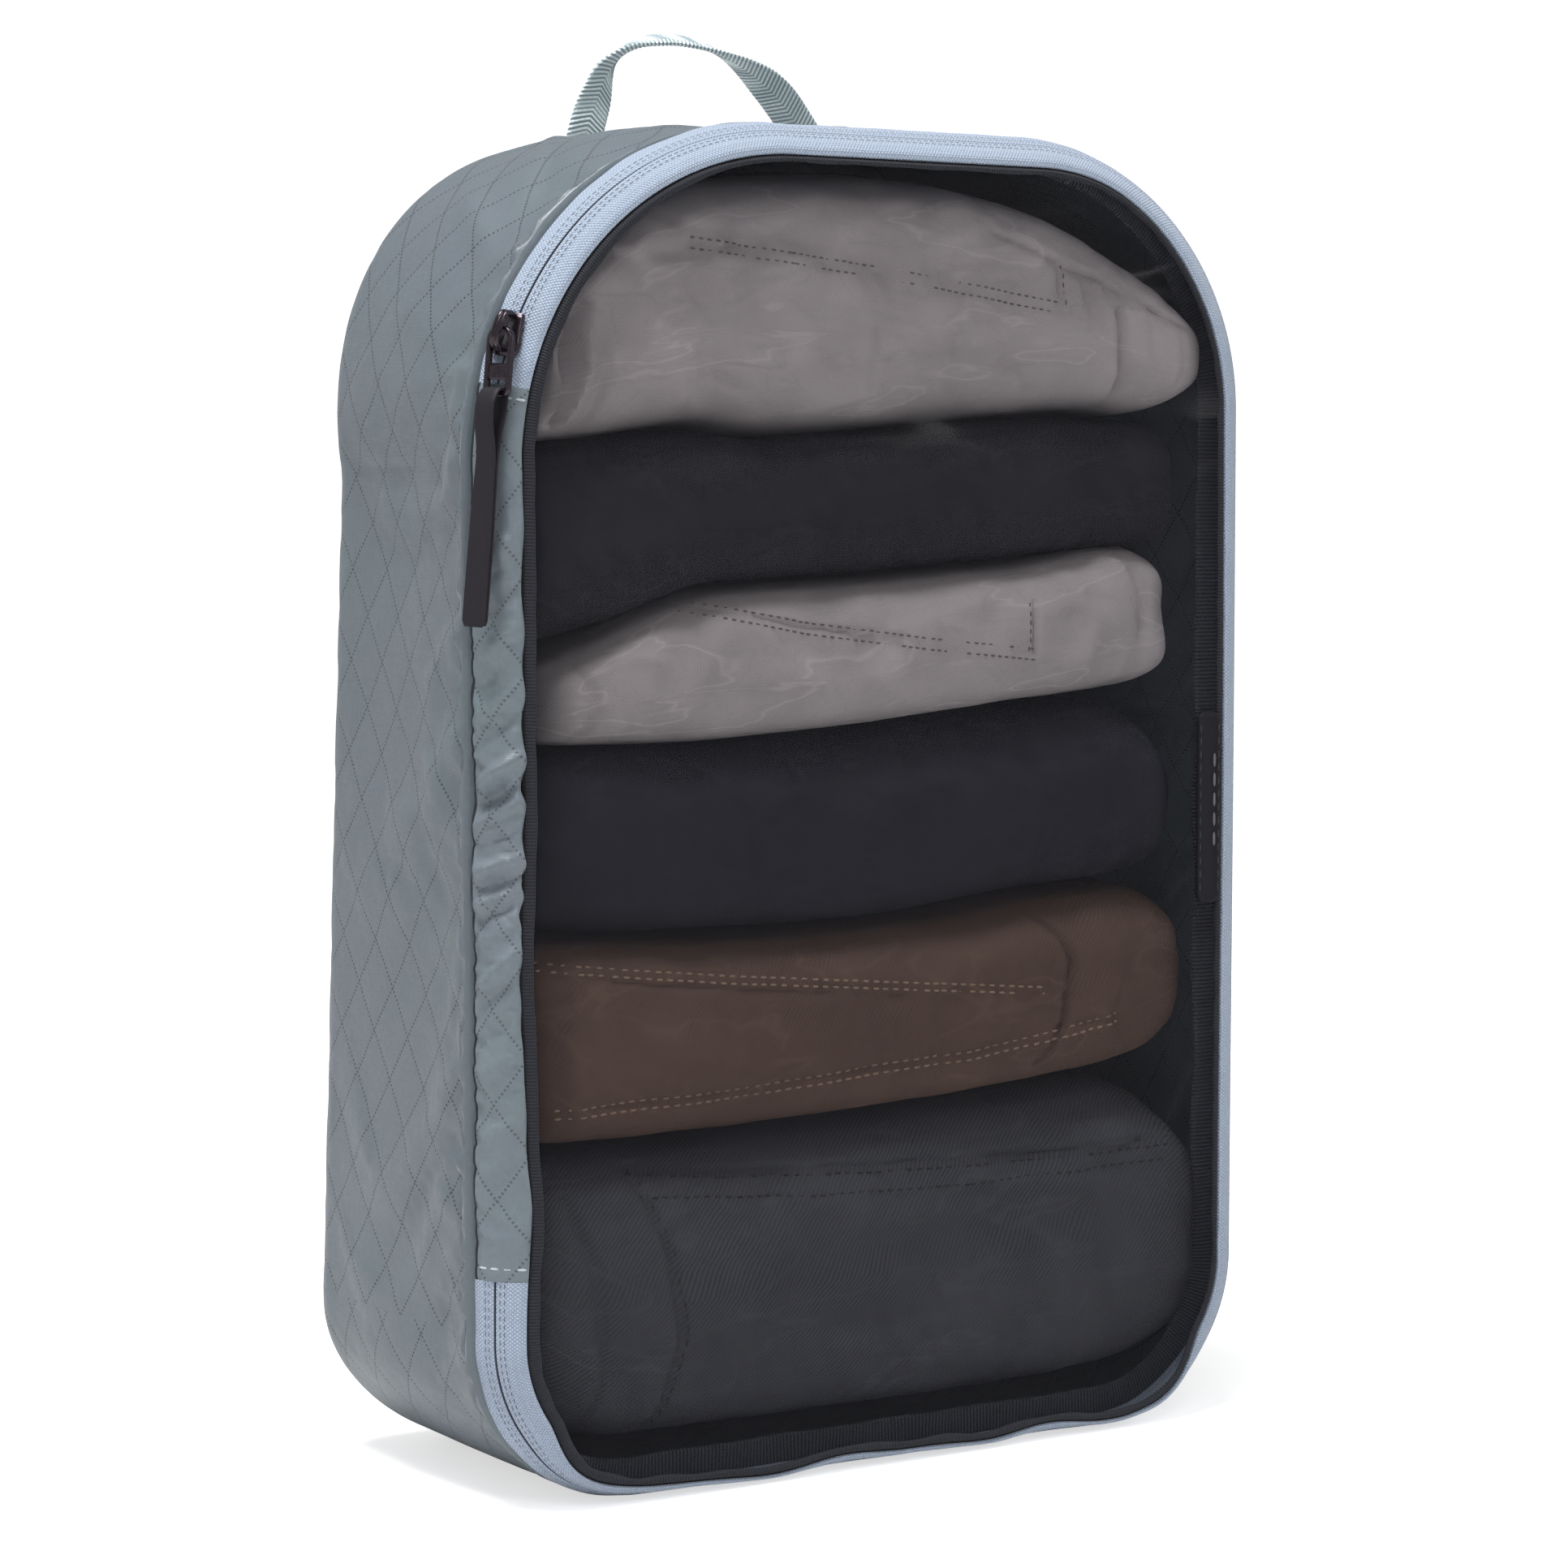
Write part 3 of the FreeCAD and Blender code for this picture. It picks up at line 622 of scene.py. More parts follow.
def rubber_material(name, colour, roughness):
    """Moulded or coated rubber with a fine grain."""
    paint = Paint(name)
    grain = paint.noise(0.5, 3.0)
    colour = paint.mix(paint.noise(6.0, 3.0) * 0.5, colour, shade(colour, 1.4))
    return paint.finish(colour, grain.fit(0.2, roughness - 0.1), paint.relief((grain, 0.05, 0.6)),
                        Specular_IOR_Level=0.2)


def garment_material(name, colour, twill, contrast):
    """Cotton cloth: diagonal twill, slubs, patches of wear and soft folds, with painted shade in
    thin lines along the folds and painted highlight in a thin band beside them.
    """
    paint = Paint(name)
    along, across = paint.uv()
    slub = paint.noise(2.2, 4.0)
    tone = paint.mix((along + across * 0.9).wave(twill),
                     shade(colour, 1 - contrast), shade(colour, 1 + contrast))
    tone = paint.mix(slub * 0.5, tone, shade(colour, 0.75))
    tone = paint.mix(paint.noise(45.0, 3.0).fit(1.6, -0.55), tone, shade(colour, 1.18))
    rumple = paint.noise(30, 3.0, (along * 0.55, across * 1.6))
    # painted shade: thin darker lines along the folds
    for level in (0.43, 0.52, 0.6):
        fold = rumple.within(level, level + 0.012, 0.016)
        tone = paint.mix(fold * 0.3, tone, shade(colour, 0.45))
    # painted highlight: a thin paler band along the folds
    tone = paint.mix(rumple.within(0.545, 0.575, 0.02), tone, shade(colour, 1.25))
    return paint.finish(tone, 0.95, paint.relief((rumple, 1.6, 0.6), (slub, 0.03, 0.4)),
                        Specular_IOR_Level=0.04)


# ---------------------------------------------------------------- pieces
def own(piece, material, slot, body, *nodes):
    """Gives a piece its material and body, and hides the CAD nodes it stands for; `slot` is not
    used.
    """
    piece.data.materials.append(material)
    if nodes:
        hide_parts(*nodes)
    if body:
        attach(piece, body)


def dress(piece, material):
    """A piece that is only set round the object, not a part of it."""
    piece.data.materials.append(material)


def finish_node(name, material, bevel):
    """A CAD part that is shown as it is: edges softened by `bevel` mm and its own material."""
    node = frame["nodes"][name]
    node.data.materials.clear()
    node.data.materials.append(material)
    rounded = node.modifiers.new("edges", "BEVEL")
    rounded.width = bevel * MM
    rounded.segments = 3
    rounded.limit_method = "ANGLE"
    rounded.angle_limit = math.radians(40)


# ---------------------------------------------------------------- cloth simulation
SLACK_FRAMES = 24


def slack(name, u, t, closed, growth, cap):
    """Cloth held at its long edges and cut `growth` too large, so that it buckles.

    Gives a function of (u, t) that tells how far the cloth lies out of its resting face, in mm,
    at most `cap`.
    """
    uu, tt = grid(u, t)
    rest = surface(uu, tt)
    faces, _ = grid_faces(len(u), len(t), closed, False)
    start = surface(uu, tt, 0.12 * ripple(71, 20, *rest.transpose(2, 0, 1)))
    piece = mesh_object(name, start.reshape(-1, 3), faces.tolist())
    held = np.zeros(uu.shape, bool)
    held[:, 0] = held[:, -1] = True
    if not closed:
        held[0] = held[-1] = True
    group = piece.vertex_groups.new(name="held")
    group.add(np.flatnonzero(held.ravel()).tolist(), 1.0, "REPLACE")
    cloth = piece.modifiers.new("cloth", "CLOTH")
    for setting, value in dict(
            vertex_group_mass=group.name, quality=6, mass=0.25, shrink_min=-growth,
            tension_stiffness=25, compression_stiffness=25, shear_stiffness=12,
            bending_stiffness=0.3, air_damping=4).items():
        setattr(cloth.settings, setting, value)
    cloth.settings.effector_weights.gravity = 0.15
    cloth.collision_settings.use_collision = False
    cloth.point_cache.frame_start, cloth.point_cache.frame_end = 1, SLACK_FRAMES
    for moment in range(1, SLACK_FRAMES + 1):
        bpy.context.scene.frame_set(moment)
    shown = piece.evaluated_get(bpy.context.evaluated_depsgraph_get())
    moved = np.array([v.co for v in shown.data.vertices]).reshape(rest.shape) / MM
    bpy.context.scene.frame_set(1)
    bpy.data.objects.remove(piece, do_unlink=True)
    out = ((moved - rest) * (surface(uu, tt, 1.0) - rest)).sum(-1)
    return sampler(cap * np.tanh(out / cap), u, t, closed)


def sampler(heights, u, t, closed):
    """Function of (u, t) that reads a grid of heights smoothly between its places."""
    if closed:
        heights = np.concatenate([heights, heights[:1]])
        u = np.append(u, u[0] + PERIMETER)

    def read(uu, tt):
        past = np.mod(uu - u[0], PERIMETER) if closed else uu - u[0]
        i = np.interp(past, u - u[0], range(len(u)))
        j = np.interp(tt, t, range(len(t)))
        i0 = np.minimum(i.astype(int), len(u) - 2)
        j0 = np.minimum(j.astype(int), len(t) - 2)
        a, b = ((smooth(s, 0, 1) + s) / 2 for s in (i - i0, j - j0))
        near = heights[i0, j0] * (1 - b) + heights[i0, j0 + 1] * b
        far = heights[i0 + 1, j0] * (1 - b) + heights[i0 + 1, j0 + 1] * b
        return near * (1 - a) + far * a

    return read


# ---------------------------------------------------------------- body
BODY_CREASES = [             # (u past the top left corner's start, t) twice, rise, half width
    ((52, 8), (84, 62), 1.1, 4.5), ((66, 6), (112, 50), -0.9, 4.0), ((30, 10), (48, 70), 0.8, 5.5),
    ((88, 30), (126, 80), 0.9, 3.0), ((96, 78), (140, 44), 0.8, 2.6),
    ((118, 40), (150, 84), -0.9, 3.0), ((-28, 40), (34, 78), 0.9, 7.0),
    ((-120, 10), (-84, 34), -0.8, 4.0), ((-96, 6), (-70, 30), 0.8, 3.2)]


def crease(u, t, start, end, height, width):
    """A soft ridge from start to end, both (u, t), fading at its ends."""
    (au, at), (bu, bt) = start, end
    length = math.hypot(bu - au, bt - at)
    du, dt = (bu - au) / length, (bt - at) / length
    along = (u - au) * du + (t - at) * dt
    aside = (u - au) * dt - (t - at) * du
    fade = smooth(along, 0, length * 0.35) * smooth(length - along, 0, length * 0.35)
    return height * fade * hump(aside, 0, width)


def body_swell(u, t):
    """Normal displacement of the gusset: slack undulations and soft creases."""
    x, z, _, _ = outline(u)
    held = smooth(t, 2, 22) * smooth(BACK_SEAM - t, 2, 18)
    swell = held * ripple(3, 70, x, z, t) + 0.16 * held * ripple(5, 26, x, z, t)
    near_seam = smooth(t, 2, 7) * smooth(34 - t, 0, 26)
    swell += 0.5 * near_seam * ripple(8, 11, x, z, t * 0.5)
    for start, end, height, width in BODY_CREASES:
        swell += crease(u - STARTS[1], t, start, end, height, width)
    return swell


def edge_cover(u):
    """How fully the turned edge lies over the tape: only along the strip is it broad and high."""
    _, _, nx, _ = outline(u)
    return 0.14 + 0.86 * smooth(-nx, 0.2, 0.85)


def front_ridge(u, t):
    """The gusset's turned front edge: a low wavy roll that lies on the zip tape and strip."""
    x, z, _, _ = outline(u)
    from_edge = t + OVERLAP
    wide = 4.6 + ripple(11, 14, x, z)
    roll = smooth(from_edge, 0, 1.2) * (1 - smooth(from_edge, wide - 2.2, wide))
    roll = roll * (1.7 + smooth(from_edge, 0.8, 2.4) * ripple(12, 9, x, z + 1.1 * t))
    groove = -(1.1 + 0.9 * ripple(13, 9, x, z)) * hump(from_edge, wide + 0.6, 1.2)
    laid = 0.95 * (1 - smooth(t, -0.5, 2.0)) * smooth(from_edge, 0, 0.5)
    return (roll + groove + laid) * edge_cover(u) - 0.1


def body_surface(u, t, lift):
    """The body's face, where the turned edge reaches out over the tape only as far as it covers."""
    return surface(u, np.where(t < 0, t * edge_cover(u), t), lift)


def diamond_dent(u, t):
    """The stitched grid pulls the cloth in a little along its lines."""
    dent = 0
    for sign in (1, -1):
        line = DIAMOND_GAP * (u / DIAMOND_TALL + sign * t / DIAMOND_WIDE)
        away = np.abs(np.mod(line + DIAMOND_GAP / 2, DIAMOND_GAP) - DIAMOND_GAP / 2)
        dent = dent - 0.07 * hump(away, 0, 1.2)
    return dent


def build_body(cloth):
    loose = slack("slack_gusset", ring_stations(3.6), stretch(1.5, BACK_SEAM - 0.5, 3.6),
                  True, 0.012, 0.8)
    u = ring_stations(1.3)
    t = np.concatenate([np.linspace(-OVERLAP, 4, 18), stretch(5.2, BACK_SEAM, 1.3)])
    uu, tt = grid(u, t)
    seam = -0.8 * (1 - smooth(BACK_SEAM - tt, 0, 2.2))
    swell = body_swell(uu, tt) + diamond_dent(uu, tt)
    swell = swell + loose(uu, tt) * (0.25 + 0.75 * smooth(FLAT - tt, 0, 40))
    _, _, _, nz = outline(uu)
    standing = 1 - 0.92 * np.clip(-nz, 0, 1)
    lift = (swell + front_ridge(uu, tt)) * standing + seam
    piece = shell("body_cloth", u, t, lift, body_surface, PERIMETER)
    own(piece, cloth, "body_cloth", "shell", "gusset_panel")


def build_back(cloth):
    """Back panel: from the seam round the edge and on to the middle, domed a little."""
    uu, tt = grid(ring_stations(2.6), stretch(BACK_SEAM, FLAT + BACK_ROUND * PI / 2, 1.3))
    dip = -0.8 * (1 - smooth(tt - BACK_SEAM, 0, 2.2))
    share = np.linspace(0, PANEL_REACH, 46)[1:]

    def layer(sunk):
        edge = surface(uu, tt, dip - sunk)
        outer = edge[:, -1:]
        middle = np.array([0.0, outer[0, 0, 1], HEIGHT / 2])
        flat = outer + (middle - outer) * share[None, :, None]
        x, z = flat[..., 0], flat[..., 2]
        dome = 2.0 * smooth(share, 0, 0.6) + 0.9 * smooth(share, 0, 0.3) * ripple(21, 80, x, z)
        crumple = 0.35 * smooth(share, 0, 0.2) * ripple(23, 24, x, z)
        flat[..., 1] = flat[..., 1] + dome + crumple
        return np.concatenate([edge, flat], axis=1)

    piece = panel("back_cloth", layer(0.0), layer(CLOTH), [2, 0], True)
    own(piece, cloth, "body_cloth", "shell", "back_panel")


# ---------------------------------------------------------------- hinge strip
STRIP_CREASES = [            # height at the seam and at the door's edge, rise, half width
    (96, 104, 0.5, 3.0), (112, 120, 0.7, 3.0), (121, 128, -0.5, 2.5), (129, 139, -1.1, 2.6),
    (135, 146, 1.7, 2.4), (150, 152, 1.0, 1.7), (155, 156.5, -1.2, 1.5), (158.5, 161, 1.5, 1.6),
    (163.5, 164, -1.3, 1.6), (167.5, 169, 1.8, 1.7), (173, 176, -1.3, 2.1), (178, 184, 1.9, 1.9),
    (183, 188.5, -2.0, 2.0), (187.5, 195.5, 2.5, 2.1), (197, 205, -1.5, 2.4), (205, 212, 1.4, 2.4),
    (212, 220, -0.8, 2.6), (219, 228, 0.9, 3.0), (231, 238, -0.7, 3.0), (243, 252, 0.8, 3.4),
    (258, 262, -0.5, 3.0)]


def pucker(u, t):
    """Rope-like creases of the hinge strip, gathered by its two seams."""
    across = np.clip(-t / BAND, 0, 1)
    z = u + BOTTOM
    ends = smooth(across, 0.14, 0.36) * (1 - 0.5 * smooth(across, 0.75, 1.0))
    swell = 0.5 * np.sin(PI * across) + 0.2 * ripple(31, 15, u, t)
    for at_seam, at_door, height, width in STRIP_CREASES:
        centre = at_seam - 1.5 + (at_door - at_seam + 3.5) * across
        swell += height * ends * hump(z, centre, width * 0.9)
    upper = smooth(z, 200, 218)
    swell += upper * (1.1 * hump(across, 0.76, 0.17) - 0.9 * hump(across, 0.4, 0.18))
    return swell


def strip_surface(u, t, lift):
    """The strip's face: its edge along the door is drawn into shallow scallops by its creases."""
    scallop = 0.25 * ripple(33, 30, u)
    for _, at_door, height, width in STRIP_CREASES:
        scallop = scallop + 0.42 * height * hump(u + BOTTOM, at_door, width * 1.4)
    inward = scallop * smooth(-t / BAND, 0.6, 1.0) * smooth(u - STRIP_FOOT, 4, 20)
    return drawn_in(surface(u, t, lift), u, inward * smooth(STRIP_TOP - u, 4, 30))


def build_strip(cloth):
    loose = slack("slack_strip", stretch(STRIP_FOOT, STRIP_TOP, 1.6), stretch(-BAND, -1.4, 1.6),
                  False, 0.05, 0.9)
    u = stretch(STRIP_FOOT, STRIP_TOP, 0.9)
    t = stretch(-BAND, 0, 0.75)
    uu, tt = grid(u, t)
    ends = smooth(uu - STRIP_FOOT, 0, 12) * smooth(STRIP_TOP - uu, 6, 46)
    seam = -0.9 * (1 - smooth(-tt, 0, 1.3)) - 0.5 * (1 - smooth(BAND + tt, 0, 1.0))
    hem = 0.35 * (hump(uu, STRIP_FOOT + 1.6, 1.6) + hump(uu, STRIP_TOP - 1.6, 1.6))
    lift = (pucker(uu, tt) + loose(uu, tt)) * ends + seam + hem
    piece = shell("hinge_strip_cloth", u, t, lift, strip_surface)
    own(piece, cloth, "body_cloth", "shell", "hinge_strip")


def build_strip_threads(thread):
    """White stitches across both hems of the hinge strip."""
    hem, pitch = 3.3, BAND / 5
    rows, places = (STRIP_FOOT + hem, STRIP_TOP - hem), -(np.arange(1, 5) + 0.5) * pitch
    u, t = pairs(rows, places).reshape(-1, 2).T
    a, b = surface(u, t - 0.4, 0.15), surface(u, t + 0.4, 0.15)
    outs = surface(u, t, 1.0) - surface(u, t)
    piece = capsules("strip_threads", (a + b) / 2, b - a, outs, 2.5, 0.32)
    own(piece, thread, "pale_thread", "shell", "strip_end_stitches")


# ---------------------------------------------------------------- seam bindings inside
def inner_binding(name, node, root, lean, ribbon):
    """A ribbed ribbon folded over a seam allowance, standing into the bag.

    root is (inset, depth) and lean the direction (inset, depth) in which it stands.
    """
    long, half = 8.0, 0.8
    side = (-lean[1], lean[0])
    nose = [(long * math.cos(a) * 0.12 + long * 0.88, half * math.sin(a))
            for a in np.linspace(-PI / 2, PI / 2, 7)]
    loop = [(0.0, -half * 0.7), (long * 0.45, -half * 0.8), *nose,
            (long * 0.45, half * 0.8), (0.0, half * 0.7)]
    u = ring_stations(2.0)
    x, z, nx, nz = outline(u)
    wave = 0.7 * ripple(41, 24, x, z)
    sections = []
    for reach, wide in loop:
        sway = wide + wave * reach / long
        inset = root[0] + lean[0] * reach + side[0] * sway
        depth = root[1] + lean[1] * reach + side[1] * sway
        shift = slump(x, z, nx, nz, depth - FRONT_SEAM) - inset
        sections.append(np.stack([x + nx * shift, DOOR_Y + depth, z + nz * shift], -1))
    across = run_of(np.array(loop))
    across = np.append(across, across[-1] + 1.2)
    piece = loop_sheet(name, np.stack(sections, axis=1), u, across, PERIMETER)
    own(piece, ribbon, "seam_binding", "shell", node)


def build_inner_bindings(ribbon):
    inner_binding("front_binding_inner", "front_seam_binding",
                  (CLOTH + 0.2, FRONT_SEAM + 0.9), (1.0, 0.0), ribbon)
    slope = math.cos(PI / 4)
    reach = (BACK_ROUND - CLOTH - 0.2) * slope
    inner_binding("back_binding_inner", "back_seam_binding",
                  (BACK_ROUND - reach, DEPTH - BACK_ROUND + reach), (slope, -slope), ribbon)


# ---------------------------------------------------------------- zip
def tape_surface(u, t, lift):
    """The tapes' face: they lie edge to edge where the slider has shut them tight."""
    shut = smooth(u, ZIP_FROM + 30, ZIP_FROM + 90) * smooth(ZIP_TO - u, 60, 130)
    off = t + ZIP_LINE
    points = surface(u, t - np.sign(off) * 0.21 * shut * np.exp(-np.abs(off) / 4), lift)
    _, _, nx, _ = outline(u)
    return drawn_in(points, u, RIGHT_SHIFT * smooth(nx, 0.25, 0.9) * smooth(-t / BAND, 0.5, 1.0))


def build_tapes(tape):
    u = stretch(ZIP_FROM, ZIP_TO, 1.1)
    for name, node, body, low, high in (
        ("tape_rear", "zipper_tape_rear", "shell", ZIP_GAP / 2 - ZIP_LINE, 0.0),
        ("tape_front", "zipper_tape_front", "lid", -BAND, -ZIP_GAP / 2 - ZIP_LINE),
    ):
        t = stretch(low, high, 0.5)
        uu, tt = grid(u, t)
        aside = np.abs(tt + ZIP_LINE) - ZIP_GAP / 2
        fold = -0.35 * (1 - smooth(aside, 0, 0.8))
        crown = 0.28 * smooth(aside, 2.5, 5.5)
        dip, from_seam, soft = (-0.9, -tt, 1.1) if high == 0 else (-0.7, BAND + tt, 1.4)
        seam = dip * (1 - smooth(from_seam, 0, soft))
        x, z, _, _ = outline(uu)
        wobble = 0.12 * ripple(51, 14, x, z) * smooth(aside, 1, 5)
        piece = shell(name, u, t, fold + crown + seam + wobble, tape_surface)
        own(piece, tape, "zip_tape", body, node)


def build_coils(plastic):
    """Real coils: a flattened helix sewn to the inside of each tape."""
    pitch, around, radius, wire, sides = 1.3, 12, 0.52, 0.2, 6
    start, end = ZIP_FROM + 3.5, ZIP_TO - 4.0
    s = np.arange(int((end - start) / pitch) * around + 1)
    u, angle = start + s * pitch / around, 2 * PI * s / around
    for name, node, body, side in (
        ("coil_rear", "zipper_coil_rear", "shell", 1),
        ("coil_front", "zipper_coil_front", "lid", -1),
    ):
        ring = []
        for k in range(sides):
            a = 2 * PI * k / sides
            reach = radius + wire * math.cos(a)
            t = side * (1.35 + reach * np.sin(angle)) - ZIP_LINE
            ring.append(surface(u + wire * math.sin(a), t, reach * np.cos(angle) - CLOTH - 0.7))
        piece = loop_sheet(name, np.stack(ring, axis=1), u, np.arange(sides + 1.0))
        own(piece, plastic, "zip_coil", body, node)


# ---------------------------------------------------------------- door
def door_slack(x, z):
    """How far the mesh stands out of its plane, positive towards the viewer."""
    edge = np.minimum(np.minimum(x + HALF, HALF - x), np.minimum(z, HEIGHT - z)) - BINDING_INSET
    loose = smooth(edge, 0, 40)
    swell = 1.4 * loose * ripple(61, 90, x, z) + 0.35 * smooth(edge, 2, 14) * ripple(62, 20, x, z)
    pull = 0.5 * smooth(edge, 1, 8) * (1 - smooth(edge, 26, 44)) * ripple(63, 15, x * 0.25, z)
    return swell + pull


def build_door_mesh(mesh):
    """The see-through sheet: rings that run from under the binding to the middle."""
    edge = door_point(ring_stations(2.4), MESH_EDGE, MESH_DEPTH)
    middle = np.array([0.0, edge[0, 1], HEIGHT / 2])
    share = np.concatenate([np.linspace(0, 0.12, 10), np.linspace(0.12, PANEL_REACH, 42)[1:]])

    def layer(sunk):
        flat = edge[:, None] + (middle - edge)[:, None] * share[None, :, None]
        flat[..., 1] += sunk - door_slack(flat[..., 0], flat[..., 2]) * smooth(share, 0, 0.05)
        return flat

    piece = panel("door_mesh_cloth", layer(0.0), layer(MESH_THICK), [0, 2], False)
    own(piece, mesh, "door_mesh", "lid", "mesh_panel")


def build_door_binding(ribbon):
    """The ribbon folded over the door's edge, a little broader along the hinge strip."""
    u = ring_stations(1.6)
    x, z, nx, _ = outline(u)
    outer, inner = DOOR_EDGE + 0.15, BINDING_INSET - 1.5
    loop = [(outer, 1.0), (outer + 0.7, 0.85), (outer + 1.0, 0.15), (outer + 1.5, -0.2),
            (inner - 0.8, -0.2), (inner - 0.25, 0.05), (inner, 0.5), (inner, 0.9),
            (inner - 0.4, 1.3), (inner - 0.9, 1.45), (outer + 1.2, 1.5), (outer + 0.3, 1.4)]
    wider = 1.5 * smooth(-nx, 0.1, 0.9) + 0.25 * ripple(66, 16, x, z)
    shift = RIGHT_SHIFT * smooth(nx, 0.25, 0.9)
    sections = [door_point(u, inset + shift + wider * smooth(inset, outer + 1, inner), depth)
                for inset, depth in loop]
    piece = loop_sheet("door_binding", np.stack(sections, axis=1)[:, ::-1], u,
                       np.arange(len(loop) + 1) * 0.9, PERIMETER)
    own(piece, ribbon, "mesh_binding", "lid", "mesh_edge_binding")


def round_corners(corners, steps):
    """Places round the quarter turns of corners [(x, z, radius, start of the turn), ...]."""
    return np.array([(x + radius * math.cos(a), z + radius * math.sin(a))
                     for x, z, radius, start in corners
                     for a in np.linspace(start, start + PI / 2, steps)])


def rounded_rectangle(wide, tall, radius, steps):
    """Corner points (x, z) of a rounded rectangle centred on 0."""
    x, z = wide / 2 - radius, tall / 2 - radius
    return round_corners([(x, z, radius, 0), (-x, z, radius, PI / 2), (-x, -z, radius, PI),
                          (x, -z, radius, 3 * PI / 2)], steps)


PATCH_STEPS = [(0.0, 0.0), (0.0, 0.75), (0.3, 1.0), (0.95, 1.0), (1.2, 0.72), (1.6, 0.66)]


def build_label(rubber, marks, thread):
    """Soft moulded patch: a raised rim, a sunk field and plain bars up the field's right side."""
    low, high = box_of("side_label")
    low.x, high.x = low.x - 2.6, high.x - 3.6
    middle, size = (low + high) / 2, high - low
    rings = []
    for inset, height in PATCH_STEPS:       # from the foot up over the rim, height as a share
        ring = rounded_rectangle(size.x - 2 * inset, size.z - 2 * inset, max(0.9, 2.8 - inset), 7)
        y = np.full(len(ring), high.y - size.y * height)
        rings.append(np.stack([ring[:, 0] + middle.x, y, ring[:, 1] + middle.z], -1))
    count = len(rings[0])
    faces = grid_faces(len(rings), count, False, True)[0][:, [0, 3, 2, 1]].tolist()
    faces += [list(range(count))[::-1], [(len(rings) - 1) * count + j for j in range(count)]]
    piece = mesh_object("side_patch", np.concatenate(rings), faces)
    own(piece, rubber, "label_rubber", "lid", "side_label")
    spots = [(high.x - 1.9, high.y - size.y * 0.78, low.z + 18 + 5.6 * k) for k in range(5)]
    ribs = capsules("patch_bars", spots, (0, 0, 1), (0, -1, 0), 4.0, 0.42)
    own(ribs, marks, "label_rubber", "lid")
    spots = [(x, low.y - 0.02, z) for x in (low.x + 0.62, high.x - 0.62)
             for z in np.linspace(low.z + 4.5, high.z - 4.5, 13)]
    seam = capsules("patch_threads", spots, (0, 0, 1), (0, -1, 0), 2.2, 0.22)
    own(seam, thread, "dark_thread", "lid", "label_stitches")


# ---------------------------------------------------------------- slider and pull
def joint(name):
    return next(j for j in frame["record"]["behaviour"]["joints"] if j["name"] == name)


def pull_axes():
    """Pivot, foot, down, across and out of the hanging pull, in mm."""
    pivot = np.array(joint("pull_frame_swing")["pos_m"]) / MM
    foot = np.array(joint("pull_tab_swing")["pos_m"]) / MM
    down = unit(foot - pivot)
    across = unit(-np.array(joint("pull_frame_swing")["axis"], float))
    across, _ = turned(across, np.cross(down, across), PULL_TWIST)
    return pivot, foot, down, across, np.cross(down, across)


def turned(across, out, angle):
    """Two directions at right angles, turned by the angle from the first towards the second."""
    return (across * np.cos(angle) + out * np.sin(angle),
            out * np.cos(angle) - across * np.sin(angle))


def slider_axes():
    """Middle, down, across (towards the door) and out of the slider, in mm."""
    u, t = STARTS[1] + TOP_LEFT * SLIDER_TURN, -ZIP_LINE
    middle = surface(u, t)
    down = unit(surface(u - 0.5, t) - surface(u + 0.5, t))
    out = unit(surface(u, t, 1.0) - middle)
    return middle, down, np.cross(out, down), out


def smooth_curve(points, count):
    """Evenly spaced places on a Catmull-Rom curve through the points."""
    points = np.array(points, float)
    ends = np.concatenate([[2 * points[0] - points[1]], points, [2 * points[-1] - points[-2]]])
    places = []
    for a, b, c, d in zip(ends, ends[1:], ends[2:], ends[3:]):
        for s in np.linspace(0, 1, 40, endpoint=False):
            places.append(0.5 * (2 * b + (c - a) * s + (2 * a - 5 * b + 4 * c - d) * s ** 2
                                 + (3 * b - a - 3 * c + d) * s ** 3))
    places = np.array(places + [points[-1]])
    run = run_of(places)
    even = np.linspace(0, run[-1], count)
    return np.stack([np.interp(even, run, column) for column in places.T], -1)


def sweep(name, places, broad, thin, section, closed=False):
    """Closed cross-section of (broad, thin) places carried along a path."""
    section = np.broadcast_to(section, (len(places),) + np.shape(section)[-2:])
    sections = (places[:, None] + np.asarray(broad)[..., None, :] * section[..., :1]
                + np.asarray(thin)[..., None, :] * section[..., 1:])
    return loop_sheet(name, sections, np.arange(len(places)), np.arange(section.shape[1] + 1.0),
                      len(places) if closed else 0)


SLIDER_HALF_LENGTH = 5.85
SLIDER_PLAN = ((-5.85, -5.4, -3, 0, 2, 4, 5, 5.5, 5.85),     # place along the slider, half width
               (2.0, 2.5, 2.95, 3.6, 4.05, 4.0, 3.6, 3.1, 2.4))
WING = [(-1, 0.95), (-0.95, 1.3), (-0.8, 1.5), (-0.45, 1.6), (0, 1.65), (0.45, 1.6), (0.8, 1.5),
        (0.95, 1.3), (1, 0.95), (1, 0.35), (0.93, 0.2), (0.82, 0.3), (0.78, 0.7), (0, 0.8),
        (-0.78, 0.7), (-0.82, 0.3), (-0.93, 0.2), (-1, 0.35)]
BRIDGE_PATH = [(-4.3, 1.2), (-4.65, 2.6), (-4.6, 4.6), (-3.7, 6.3), (-1.7, 7.0), (1.7, 7.0),
               (3.7, 6.4), (4.7, 4.8), (4.75, 2.8), (4.4, 1.2)]
BRIDGE_BAR = [(-1, 0.0), (-0.9, -0.4), (-0.6, -0.6), (-0.3, -0.5), (0, -0.28), (0.3, -0.5),
              (0.6, -0.6), (0.9, -0.4), (1, 0.0), (0.9, 0.4), (0.5, 0.5), (-0.5, 0.5), (-0.9, 0.4)]


